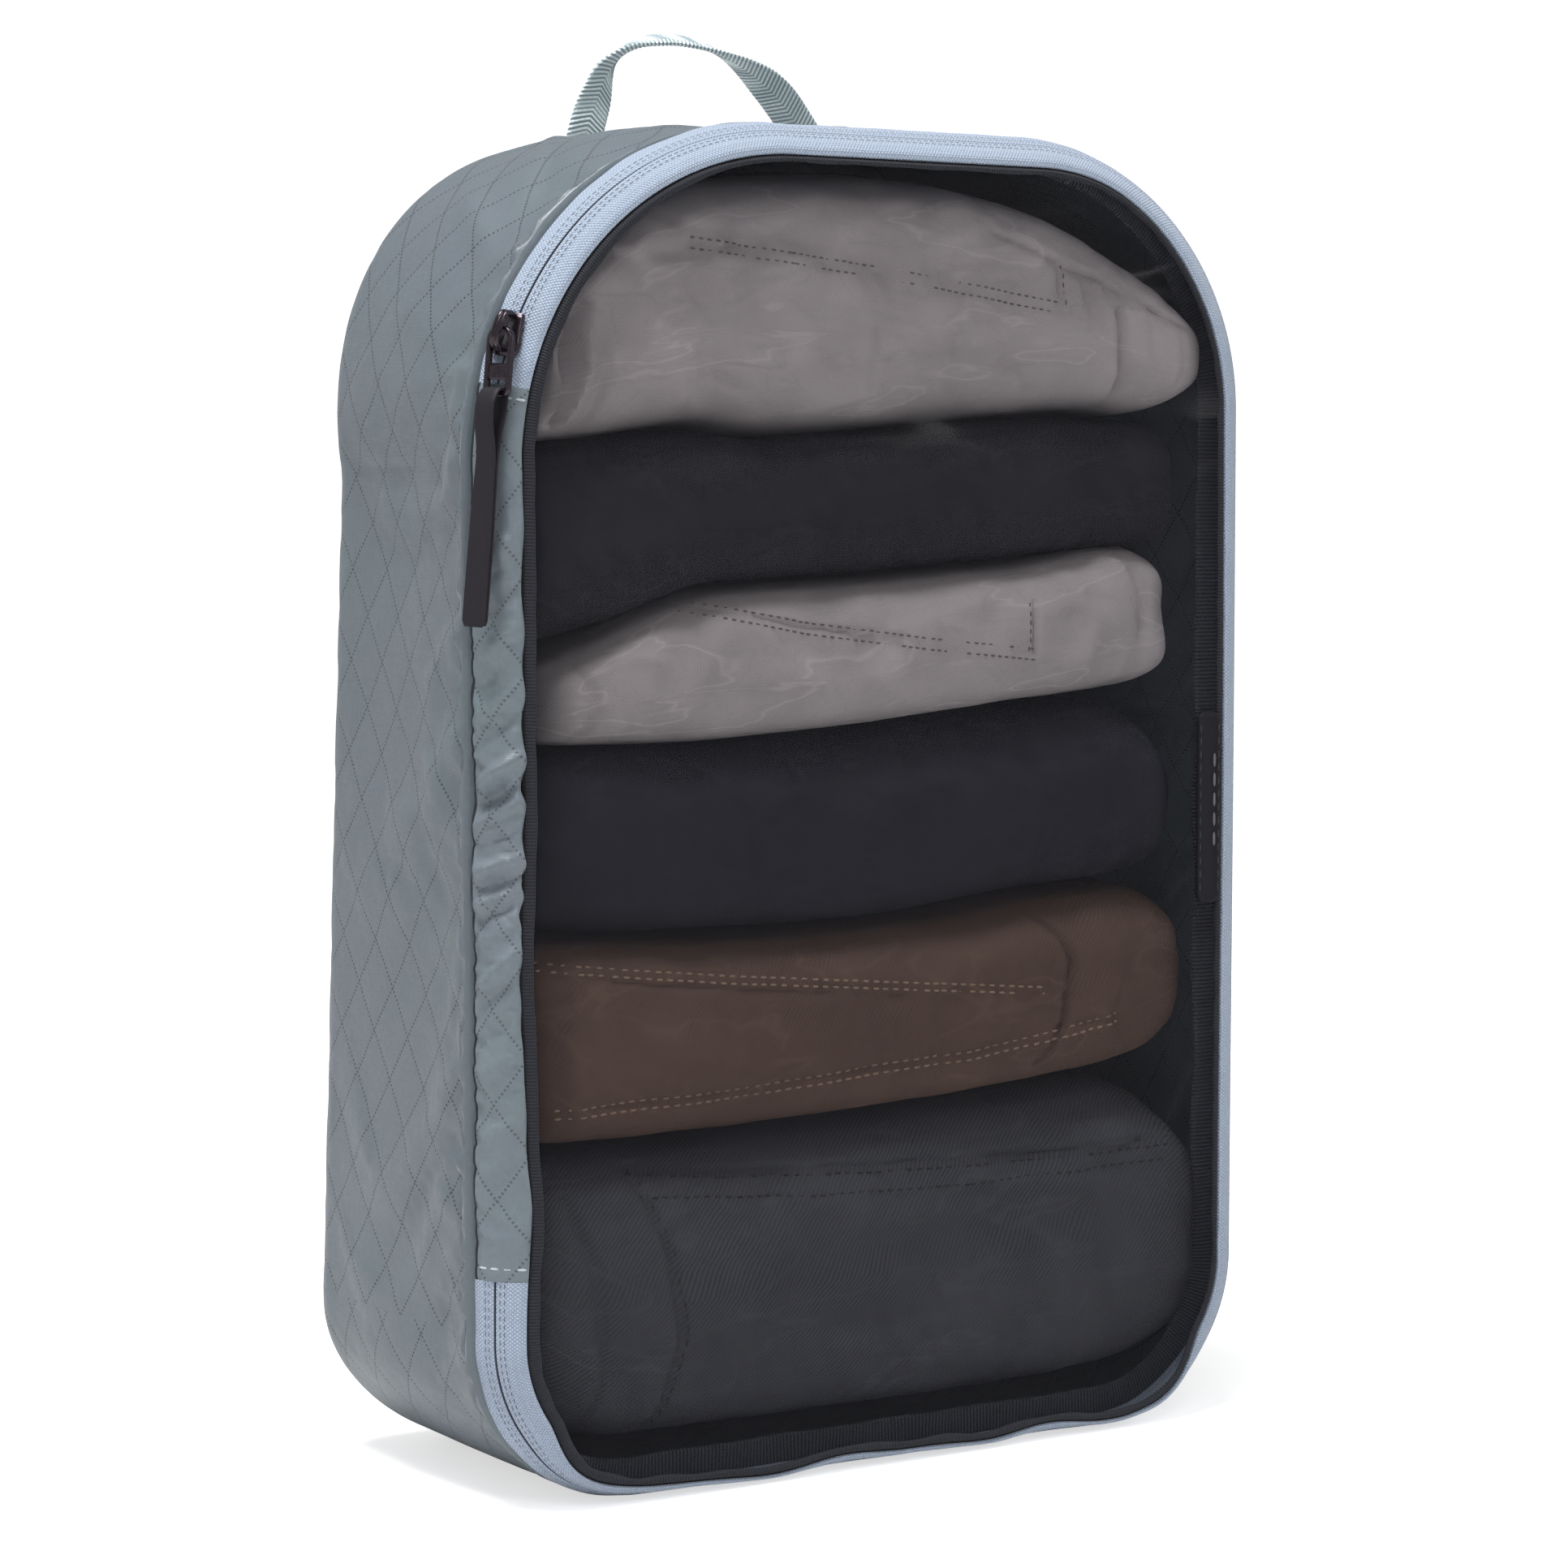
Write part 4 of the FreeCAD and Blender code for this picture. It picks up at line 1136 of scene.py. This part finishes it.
def build_slider(metal):
    """Two flanged wings round the coils, the post between them and the bridge over the top."""
    middle, down, across, out = slider_axes()
    s = stretch(-SLIDER_HALF_LENGTH, SLIDER_HALF_LENGTH, 0.3)
    half = np.interp(s, *SLIDER_PLAN)
    dive = 0.5 * smooth(np.abs(s), 4.6, SLIDER_HALF_LENGTH)
    for name, side, level in (("slider_wing_outer", 1, 0.0), ("slider_wing_inner", -1, -1.75)):
        rings = np.array([[(a * w, side * (b - d * (b > 0.6)) + level) for a, b in WING]
                          for w, d in zip(half, dive)])
        wing = sweep(name, middle + down * s[:, None], across, out, rings[:, ::side])
        own(wing, metal, "slider_metal", "slider", "slider_body")
    s = stretch(-1.4, 3.2, 0.4)
    post = rounded_rectangle(0.5, 4.0, 0.2, 3) - (0, 1.3)
    neck = sweep("slider_neck", middle + down * s[:, None], across, out, post)
    own(neck, metal, "slider_metal", "slider")

    path = smooth_curve(BRIDGE_PATH, 70)
    way = unit(np.gradient(path, axis=0))
    places = middle + down * path[:, :1] + out * path[:, 1:]
    thin = down * way[:, 1:] - out * way[:, :1]
    wide = 1.1 + 0.3 * np.sin(PI * np.linspace(0, 1, len(path))) ** 0.5
    rings = np.array([[(a * w, b) for a, b in BRIDGE_BAR] for w in wide])
    arch = sweep("slider_arch", places, across, thin, rings)
    own(arch, metal, "slider_metal", "slider", "slider_bridge")


def build_pull_frame(metal):
    """A long ring of square bar on the bridge, with a solid cross plate above its foot window."""
    pivot, foot, down, across, out = pull_axes()
    long, half, top, low = np.linalg.norm(foot - pivot), 3.6, 3.0, 1.3
    ring = round_corners([(half - top, top, top, -PI / 2), (half - low, long - low, low, 0),
                          (low - half, long - low, low, PI / 2), (top - half, top, top, PI)], 10)
    places = pivot + across * ring[:, :1] + down * ring[:, 1:]
    way = unit(np.roll(places, -1, 0) - np.roll(places, 1, 0))
    bar = rounded_rectangle(1.35, 1.7, 0.4, 3)
    piece = sweep("pull_ring", places, np.cross(way, out), out, bar, True)
    own(piece, metal, "slider_metal", "pull_frame", "pull_frame")
    start, end = 8.7, 12.9
    s = stretch(start, end, 0.3)
    thick = np.interp(s, (start, start + 0.5, end - 0.5, end), (0.45, 1.0, 1.0, 0.45))
    plate = rounded_rectangle(2 * half, 1.0, 0.3, 3)
    rings = np.array([plate * (1, share) for share in thick])
    piece = sweep("pull_plate", pivot + down * s[:, None], across, out, rings)
    own(piece, metal, "slider_metal", "pull_frame")


def build_strap(rubber):
    """A strap folded round the pull's foot bar, both layers laid together, with small ribs."""
    _, foot, down, across, out = pull_axes()
    length = (foot[2] - box_of("pull_tab")[0].z) / abs(down[2])
    layer, neck, lift = 0.8, 15.5, 1.6
    path = smooth_curve([
        (length - 0.4, -0.48), (length * 0.7, -0.48), (neck + 5, -0.48), (neck, -0.5),
        (neck * 0.6, -0.5), (3.0, -0.9), (0.2, -0.9), (-1.3, 0.7), (-0.5, 2.6), (3.2, 4.1),
        (neck * 0.5, 3.4), (neck * 0.8, 1.6), (neck + 1, 0.55), (neck + 5, 0.48),
        (length * 0.7, 0.48), (length, 0.48)], 150)
    path[:, 1] += lift * smooth(path[:, 0], 3, 18)
    way = unit(np.gradient(path, axis=0))
    normal = np.stack([-way[:, 1], way[:, 0]], -1)

    def swerved(s):
        return turned(across, out, STRAP_SWERVE * smooth(s, 12, length))

    aside, off = swerved(path[:, :1])
    wide = 5.9 + 1.1 * smooth(path[:, 0], 2, 36)
    wide = wide * (0.72 + 0.28 * np.sqrt(smooth(length - path[:, 0], -0.2, 2.0)))
    cross = [(-0.5, -0.3), (-0.46, -0.5), (0.46, -0.5), (0.5, -0.3), (0.5, 0.3), (0.46, 0.5),
             (0.25, 0.5), (0.0, 0.5), (-0.25, 0.5), (-0.46, 0.5), (-0.5, 0.3)]
    sections = []
    for a, b in cross:
        spot = path + normal * (b * layer)
        sections.append(foot + down * spot[:, :1] + off * spot[:, 1:] + aside * (a * wide)[:, None])
    piece = loop_sheet("pull_strap", np.stack(sections, axis=1), run_of(path),
                       np.arange(len(cross) + 1.0))
    own(piece, rubber, "pull_strap", "pull_tab", "pull_tab")
    s, side = pairs(20 + np.arange(24) * 1.42, (-0.75, 0.75)).reshape(-1, 2, 1).transpose(1, 0, 2)
    aside, off = swerved(s)
    bars = foot + down * (s + 0.3 * side) + aside * side + off * (1.18 + layer / 2 + 0.03)
    ribs = capsules("pull_strap_ribs", bars, aside - down * 0.5 * side, off, 1.25, 0.34)
    own(ribs, rubber, "pull_strap", "pull_tab")


# ---------------------------------------------------------------- handle
HANDLE_SHAPE = [             # middle line of the loop, x and height above its fold line
    (-38.8, 0.0), (-37.2, 7.5), (-34.6, 15.0), (-31.8, 22.0), (-26.5, 28.0), (-17.5, 31.6),
    (-6.5, 32.3), (5.0, 30.2), (15.0, 26.0), (24.0, 19.5), (31.0, 12.0), (36.0, 5.5), (38.8, 0.0)]
HANDLE_TWIST = [             # share of the run, turn of the webbing about it in degrees
    (0.0, 8), (0.1, 4), (0.2, -28), (0.27, -72), (0.36, -104), (0.48, -112), (0.56, -108),
    (0.64, -92), (0.74, -55), (0.85, -22), (1.0, -4)]


def build_handle(webbing, thread):
    """A loop of twisting webbing sewn on below its fold line, and the bartacks that sew it on."""
    hinge = joint("handle_fold")["pos_m"]
    depth, fold = hinge[1] / MM, hinge[2] / MM
    wide, thick, rib_pitch = 10.6, 1.3, 1.5
    span = HANDLE_SHAPE[-1][0]
    sewn = fold - box_of("handle_ends")[0].z
    loop = [(-span, -sewn), (-span, -sewn / 2), *HANDLE_SHAPE, (span, -sewn / 2), (span, -sewn)]
    flat = smooth_curve(loop, 560)
    path = np.stack([flat[:, 0], np.full(len(flat), depth), fold + flat[:, 1]], -1)
    run = run_of(path)
    share = np.clip((run - sewn) / (run[-1] - 2 * sewn), 0, 1)
    twist = np.radians(soften(np.interp(share, *zip(*HANDLE_TWIST)), 61))[:, None]
    path[:, 1] -= 1.2 * np.sin(PI * share)
    way = unit(np.gradient(path, axis=0))
    side = unit(np.cross(way, [0, 1, 0]))
    broad, _ = turned(side, np.cross(side, way), twist)
    thin = np.cross(way, broad)
    across = np.linspace(-0.5, 0.5, 15)
    soft_edge = 1 - 0.55 * smooth(np.abs(across), 0.43, 0.5)
    rib = 0.15 * np.cos(2 * PI * (run[:, None] + 0.5 * wide * np.abs(across)) / rib_pitch)
    cup = 0.5 * np.cos(PI * across)[None, :] * np.sin(PI * share)[:, None]
    middle = path[:, None] + broad[:, None] * (across * wide)[None, :, None]
    top = middle + thin[:, None] * (thick / 2 * soft_edge + rib + cup)[..., None]
    bottom = middle + thin[:, None] * (cup - rib - thick / 2 * soft_edge)[..., None]
    ring = np.concatenate([across, across[::-1], across[:1]]) * wide
    piece = loop_sheet("handle_loop", np.concatenate([top, bottom[:, ::-1]], axis=1), run, ring)
    own(piece, webbing, "handle_webbing", None, "handle_webbing", "handle_ends")
    Vector(hinge) - Vector((0, 0, 0.5 * MM))
    Vector(hinge) + Vector((0, 0, 5 * MM))
    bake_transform(piece)
    spots = [(x - 4.4 + 1.1 * k, depth - 0.95, fold - row)
             for x in (-span, span) for row in (8.0, 6.8, 5.6) for k in range(9)]
    bars = capsules("handle_bars", spots, (1, 0, 0.5), (0, -1, 0), 1.5, 0.3)
    own(bars, thread, "dark_thread", "shell", "handle_bartacks")


# ---------------------------------------------------------------- folded clothes, as dressing
BACK_CLEAR = 7.0             # the clothes stay this far in from the middle of the back panel


def garment(name, material, front, seed, folds, low, high, lines, blunt=16):
    """One folded garment inside the bag, its face `front` mm behind the door.

    low and high are its lower and upper edge, [(x, z), ...]; lines are creases and seams in its
    face, [(rise, half width, x, z, x, z, ...), ...]. Gives the places of its face.
    """
    left, right = low[0][0], low[-1][0]
    xs = np.linspace(left, right, 190)
    bottom, top = (soften(np.interp(xs, *zip(*edge)), 31) for edge in (low, high))
    taper = (1 - np.abs(2 * (xs - left) / (right - left) - 1) ** blunt) ** (1 / 3)
    turn = np.linspace(0, 2 * PI, 150, endpoint=False)
    up = np.sign(np.sin(turn)) * np.abs(np.sin(turn)) ** 0.5
    fore = np.sign(np.cos(turn)) * np.abs(np.cos(turn)) ** 0.6
    middle, half = (bottom + top) / 2, (top - bottom) / 2
    back, near = DEPTH / 2 - BACK_CLEAR, DOOR_Y + front
    deep, centre = (back - near) / 2, (back + near) / 2
    z = middle[:, None] + (half * (0.55 + 0.45 * taper))[:, None] * up
    y = centre - (deep * (0.5 + 0.5 * taper))[:, None] * fore
    x = np.repeat(xs[:, None], len(turn), axis=1)
    broad, fine = ripple(seed, 80, x * 0.6, z * 1.6), ripple(seed + 1, 26, x, z * 1.3)
    swell = folds * (2.2 * broad + 1.3 * fine) + 0.35 * ripple(seed + 2, 9, x * 0.7, z * 1.3)
    for k, size, depth in ((3, 75, 1.1), (4, 45, 0.6)):
        swell -= depth * folds * hump(ripple(seed + k, size, x * 0.6, z), 0, 0.11)
    for rise, width, *path in lines:
        swell += 1.7 * rise * hump(distance_to(path_of(path), x, z), 0, width)
    room = front - 2.2
    swell = np.minimum(swell, room * np.tanh(swell / room))
    sections = np.stack([x, y - np.clip(fore, 0, 1) * swell, z], -1)
    section = sections[len(sections) // 2]
    across = run_of(np.concatenate([section, section[:1]]))
    piece = loop_sheet(name, sections[:, ::-1], xs, across)
    dress(piece, material)
    return sections[:, fore > 0.3].reshape(-1, 3)


def path_of(numbers, dx=0.0, dz=0.0):
    """Places [(x, z), ...] from a plain row of numbers, all moved by (dx, dz)."""
    return [(x + dx, z + dz) for x, z in zip(numbers[::2], numbers[1::2])]


def distance_to(path, x, z):
    """Distance from (x, z) to a polyline."""
    best = np.full(np.shape(x), 1e9)
    for (ax, az), (bx, bz) in zip(path[:-1], path[1:]):
        length = math.hypot(bx - ax, bz - az)
        share = np.clip(((x - ax) * (bx - ax) + (z - az) * (bz - az)) / length ** 2, 0, 1)
        best = np.minimum(best, np.hypot(x - ax - share * (bx - ax), z - az - share * (bz - az)))
    return best


def garment_stitches(name, material, face, paths, pitch=2.4, length=1.5, radius=0.26):
    """Rows of thread stitches laid on a garment's face."""
    middles, ways = [], []
    for path in paths:
        for (ax, az), (bx, bz) in zip(path[:-1], path[1:]):
            span = math.hypot(bx - ax, bz - az)
            way = ((bx - ax) / span, 0, (bz - az) / span)
            for s in np.arange(pitch / 2, span, pitch):
                px, pz = ax + way[0] * s, az + way[2] * s
                nearest = np.argmin((face[:, 0] - px) ** 2 + (face[:, 2] - pz) ** 2)
                middles.append((px, face[nearest, 1] - 0.1, pz))
                ways.append(way)
    dress(capsules(name, middles, ways, (0, -1, 0), length, radius), material)


def build_clothes():
    """Six folded garments, from the top of the bag down, with stitches on four of them."""
    taupe = garment_material("cotton_taupe", (0.54, 0.49, 0.505), 0.9, 0.07)
    black = garment_material("cotton_black", (0.034, 0.032, 0.039), 1.0, 0.12)
    navy = garment_material("cotton_navy", (0.031, 0.031, 0.04), 1.2, 0.16)
    brown = garment_material("cotton_brown", (0.146, 0.093, 0.073), 1.4, 0.14)
    denim = garment_material("denim", (0.078, 0.08, 0.092), 1.5, 0.3)
    taupe_thread = thread_material("taupe_thread", (0.24, 0.21, 0.205))
    brown_thread = thread_material("brown_thread", (0.42, 0.28, 0.2))
    dark_seam = thread_material("dark_seam", (0.03, 0.03, 0.035))

    seam = (-60, 328, -30, 324.8, 4, 321.5, 30, 318, 58.5, 314)
    pocket = (58.5, 326, 59, 314)
    face = garment(
        "garment_1", taupe, 5.5, 101, 1.1,
        [(-106, 273), (-96, 275.5), (-83, 276.5), (-60, 279.5), (-48, 282), (-33, 277.4),
         (15, 280.5), (64, 285), (81, 286.5), (96, 283), (104, 286), (112, 293)],
        [(-106, 300), (-97, 321), (-82, 336), (-54, 346), (-3, 350), (27, 348.5), (58, 343),
         (81, 333), (103, 318), (112, 307)],
        [(-0.8, 0.8, *seam), (-0.9, 0.8, *pocket),
         (-1.1, 1.0, 39, 333.4, 57, 326.3, 73, 321.6, 81, 316, 101, 309.3),
         (1.1, 1.0, 65, 321, 68, 309), (1.0, 0.9, 71, 321, 75, 310.7),
         (-2.4, 1.3, 77, 312, 80, 297, 82, 286), (1.6, 2.0, 84, 313, 86, 299, 91, 286),
         (-0.9, 1.0, 99, 308, 100, 298, 96, 285), (2.2, 1.6, -98, 312, -100, 297, -99, 284),
         (-2.2, 1.6, -94, 308, -96, 294, -97, 281), (1.8, 1.7, -90, 309, -91, 293, -95, 279),
         (-1.3, 1.6, -85, 300, -87, 288, -89, 279),
         (0.9, 1.3, -81, 294, -73, 290, -66, 291, -60, 287),
         (0.8, 1.4, -62, 300, -56, 286, -44, 281, -20, 284, 6, 291),
         (0.7, 1.8, -60, 314, -30, 309, -8, 300, 20, 299, 44, 306),
         (0.8, 2.2, -90, 330, -70, 322, -45, 320), (-0.7, 2.2, -74, 338, -55, 330, -30, 331)])
    garment_stitches("stitches_1", taupe_thread, face,
                     [path_of(seam, dz=-1.7), path_of(seam, dz=1.2), path_of(pocket, dx=1.6)])
    garment("garment_2", black, 7.0, 111, 0.5,
            [(-108, 222), (-84, 226), (-49, 238), (2, 240.5), (56, 244.5), (103, 247)],
            [(-108, 274), (-60, 279), (-48, 281), (-33, 277), (64, 284.5), (96, 284.5), (103, 284)],
            [(-1.5, 5.0, 80, 282, 72, 262, 74, 248)], blunt=40)
    seam = (-59, 234, -24, 227.5, 15, 222.5, 50, 219)
    pocket = (50.5, 219, 50.5, 233)
    face = garment(
        "garment_3", taupe, 6.0, 121, 0.8,
        [(-100, 196.5), (-49, 196), (2, 199), (56, 204.5), (103, 208)],
        [(-100, 216), (-96, 220), (-83, 225), (-66, 233.5), (-49, 238), (2, 240), (52, 243.5),
         (75, 248), (92, 252), (103, 244)],
        [(-0.8, 0.8, *seam), (-0.9, 0.8, *pocket), (-1.4, 1.6, -92, 220, -88, 208, -92, 199),
         (1.0, 3.0, 62, 244, 70, 228, 66, 208), (-1.2, 2.2, 84, 250, 90, 232, 86, 210),
         (0.7, 2.4, -80, 222, -50, 214, -20, 212)])
    garment_stitches("stitches_3", taupe_thread, face,
                     [path_of(seam, dz=-1.8), path_of(seam, dz=1.2), path_of(pocket, dx=-1.8)])
    garment("garment_4", navy, 6.5, 131, 0.8,
            [(-109, 149), (-74, 146), (2, 145.5), (56, 151), (103, 154)],
            [(-109, 196), (2, 198.5), (56, 204), (84, 206), (96, 203), (103, 190)],
            [(-1.2, 3.0, 48, 198, 56, 176, 52, 152), (1.0, 4.0, 70, 203, 80, 180, 76, 156),
             (0.8, 4.0, -80, 190, -60, 176, -66, 152)])
    upper = (-103, 138.5, -49, 132.5, 57, 122.6)
    lower = (-101, 104.0, -40, 105.5, 30, 110, 80, 117)
    face = garment(
        "garment_5", brown, 5.5, 141, 0.8,
        [(-107, 91), (-37, 91.5), (29, 94.5), (85, 99), (109, 106)],
        [(-107, 148), (-37, 145), (29, 147), (56, 151), (85, 153.5), (100, 153), (109, 144)],
        [(-0.7, 0.8, *upper), (-0.6, 0.8, *lower),
         (-1.6, 1.2, 52.4, 148, 60, 140, 63.7, 131, 61, 116, 52.6, 105),
         (1.2, 3.5, 70, 150, 78, 130, 74, 104), (1.2, 3.0, -92, 142, -97, 118, -93, 96)])
    garment_stitches("stitches_5", brown_thread, face,
                     [path_of(upper, dz=3.4), path_of(upper, dz=1.5), path_of(lower),
                      path_of(lower, dz=-2.2)], 3.2, 2.0, 0.3)
    pocket = (-76.6, 86.3, -49, 83.2, 2.5, 80.5, 57, 79, 97, 80)
    hem = (-75, 79, -24, 75, 29, 73, 97, 74.5)
    side = (-76.6, 86.3, -67, 61, -63.5, 41, -70.6, 16)
    face = garment(
        "garment_6", denim, 5.5, 151, 0.8,
        [(-108, 20), (-99, 15), (-74, 11), (57, 10), (100, 13), (115, 22)],
        [(-108, 90), (-37, 91), (29, 94), (85, 98), (97, 95), (111, 84), (115, 72)],
        [(-1.0, 1.0, *pocket), (-1.1, 1.0, *side), (-1.0, 1.2, -96, 80, -88, 55, -86, 34, -92, 16),
         (1.0, 5.0, 60, 92, 72, 60, 66, 14)])
    garment_stitches("stitches_6", dark_seam, face,
                     [path_of(pocket, dz=-1.6), path_of(hem), path_of(side, dx=1.6)], 3.2, 2.0, 0.3)


# ---------------------------------------------------------------- studio
FLOOR_SIDES = 96
FLOOR_RINGS = ((0.3, 0.0), (0.8, 0.0), (1.9, 0.0), (2.6, 0.04), (3.1, 0.18), (3.45, 0.45),
               (3.6, 0.85), (3.65, 1.4))      # radius and height in metres
LIGHTS = (                                    # place and size in metres, power in watts
    ("key", (-0.75, -1.7, 1.85), 0.8, 9.0),
    ("side", (-2.0, 0.5, 1.3), 0.9, 1.5),
    ("fill", (1.7, -1.6, 1.2), 1.5, 7),
    ("top", (-0.55, -0.2, 2.15), 0.8, 54),
)
LIGHTS_AIM = Vector((0, 0, 0.18))
WORLD_LIGHT = 0.24
CAMERA_AZIMUTH, CAMERA_ELEVATION = math.radians(-32.58), math.radians(4.27)
CAMERA_DISTANCE = 1.1162
CAMERA_TARGET = Vector((0, -0.002, HEIGHT / 2 * MM))
CAMERA_LENS, CAMERA_SENSOR = 92.0, 36.0
CAMERA_SHIFT = (-0.0075, 0.0049)


def build_floor():
    """A pale floor that curves up into a low wall all round and looks lit to the camera."""
    turn = 2 * PI * np.arange(FLOOR_SIDES) / FLOOR_SIDES
    rings = [(radius * math.cos(a), radius * math.sin(a), height)
             for radius, height in FLOOR_RINGS for a in turn]
    quads, _ = grid_faces(len(FLOOR_RINGS), FLOOR_SIDES, False, True)
    faces = [(0, 1 + j, 1 + (j + 1) % FLOOR_SIDES) for j in range(FLOOR_SIDES)]
    floor = mesh_object("floor", np.array([(0.0, 0.0, 0.0)] + rings) / MM,
                        faces + (quads + 1).tolist())
    paint = Paint("floor")
    seen = Value(paint, paint.node("ShaderNodeLightPath").outputs["Is Camera Ray"])
    tone = paint.mix(paint.noise(400), (0.88, 0.88, 0.885), (0.91, 0.91, 0.91))
    dress(floor, paint.finish(tone, 0.5, Specular_IOR_Level=0.25, Emission_Color=(1.0, 1.0, 1.0),
                              Emission_Strength=seen * 0.62))


def build_studio():
    """Floor, soft lights and the camera."""
    build_floor()
    scene = bpy.context.scene
    scene.world = bpy.data.worlds.new("studio")
    scene.world.use_nodes = True
    background = scene.world.node_tree.nodes["Background"]
    background.inputs["Color"].default_value = (1.0, 1.0, 1.0, 1.0)
    background.inputs["Strength"].default_value = WORLD_LIGHT
    for name, spot, size, power in LIGHTS:
        light = bpy.data.lights.new(name, "AREA")
        light.size, light.energy = size, power
        lamp = bpy.data.objects.new(name, light)
        lamp.location = spot
        lamp.rotation_euler = (LIGHTS_AIM - lamp.location).to_track_quat("-Z", "Y").to_euler()
        scene.collection.objects.link(lamp)

    level = math.cos(CAMERA_ELEVATION)
    away = Vector((math.sin(CAMERA_AZIMUTH) * level, -math.cos(CAMERA_AZIMUTH) * level,
                   math.sin(CAMERA_ELEVATION)))
    lens = bpy.data.cameras.new("camera")
    lens.lens, lens.sensor_width = CAMERA_LENS, CAMERA_SENSOR
    lens.shift_x, lens.shift_y = CAMERA_SHIFT
    camera = bpy.data.objects.new("camera", lens)
    camera.location = CAMERA_TARGET + away * CAMERA_DISTANCE
    camera.rotation_euler = away.to_track_quat("Z", "Y").to_euler()
    scene.collection.objects.link(camera)
    scene.camera = camera
    scene.view_settings.view_transform = "Standard"


# ---------------------------------------------------------------- everything
def main():
    cloth = body_cloth_material("body_cloth")
    # The strip is the body's cloth painted 1.32 times lighter: painted light for the brighter light
    # the strip catches. Its band by the seam is the painted shade line where the body's turned edge
    # meets it.
    strip_cloth = body_cloth_material("strip_cloth", (-OVERLAP - 0.8, 0.0), 0.6, 1.32)
    dark_ribbon = ribbed_material("mesh_binding", (0.01, 0.011, 0.015), (0.034, 0.036, 0.048),
                                  0.85, 8.6)
    seam_ribbon = ribbed_material("seam_binding", (0.03, 0.032, 0.04), (0.12, 0.13, 0.155), 1.1)
    pale_thread = thread_material("pale_thread", (0.6, 0.66, 0.7))
    dark_thread = thread_material("dark_thread", (0.03, 0.03, 0.035))
    coil = grained_material("zip_coil", (0.03, 0.036, 0.045), (0.06, 0.07, 0.085),
                            2.0, 2.0, (0.04, 1.0), 0.3, 0.2)
    metal = grained_material("slider_metal", (0.03, 0.024, 0.03), (0.07, 0.056, 0.068),
                             1.2, 4.0, (0.03, 0.5), 0.16, 0.2, Metallic=0.8)
    spring = grained_material("spring_steel", (0.1, 0.1, 0.105), (0.17, 0.17, 0.175),
                              0.5, 4.0, (0.02, 1.0), 0.45, Metallic=1.0)
    build_body(cloth)
    build_back(body_cloth_material("back_cloth"))
    build_strip(strip_cloth)
    build_strip_threads(pale_thread)
    build_inner_bindings(seam_ribbon)
    build_tapes(tape_material())
    build_coils(coil)
    finish_node("zipper_top_stop", coil, 0.2)
    finish_node("zipper_bottom_stop", coil, 0.2)
    build_door_mesh(mesh_material())
    build_door_binding(dark_ribbon)
    build_label(rubber_material("label_rubber", (0.008, 0.0075, 0.011), 0.6),
                rubber_material("patch_marks", (0.12, 0.11, 0.125), 0.5), dark_thread)
    finish_node("slider_lock_spring", spring, 0.1)
    build_slider(metal)
    build_pull_frame(metal)
    build_strap(rubber_material("pull_strap", (0.018, 0.0155, 0.02), 0.55))
    build_handle(webbing_material(), dark_thread)
    build_clothes()
    build_studio()


main()
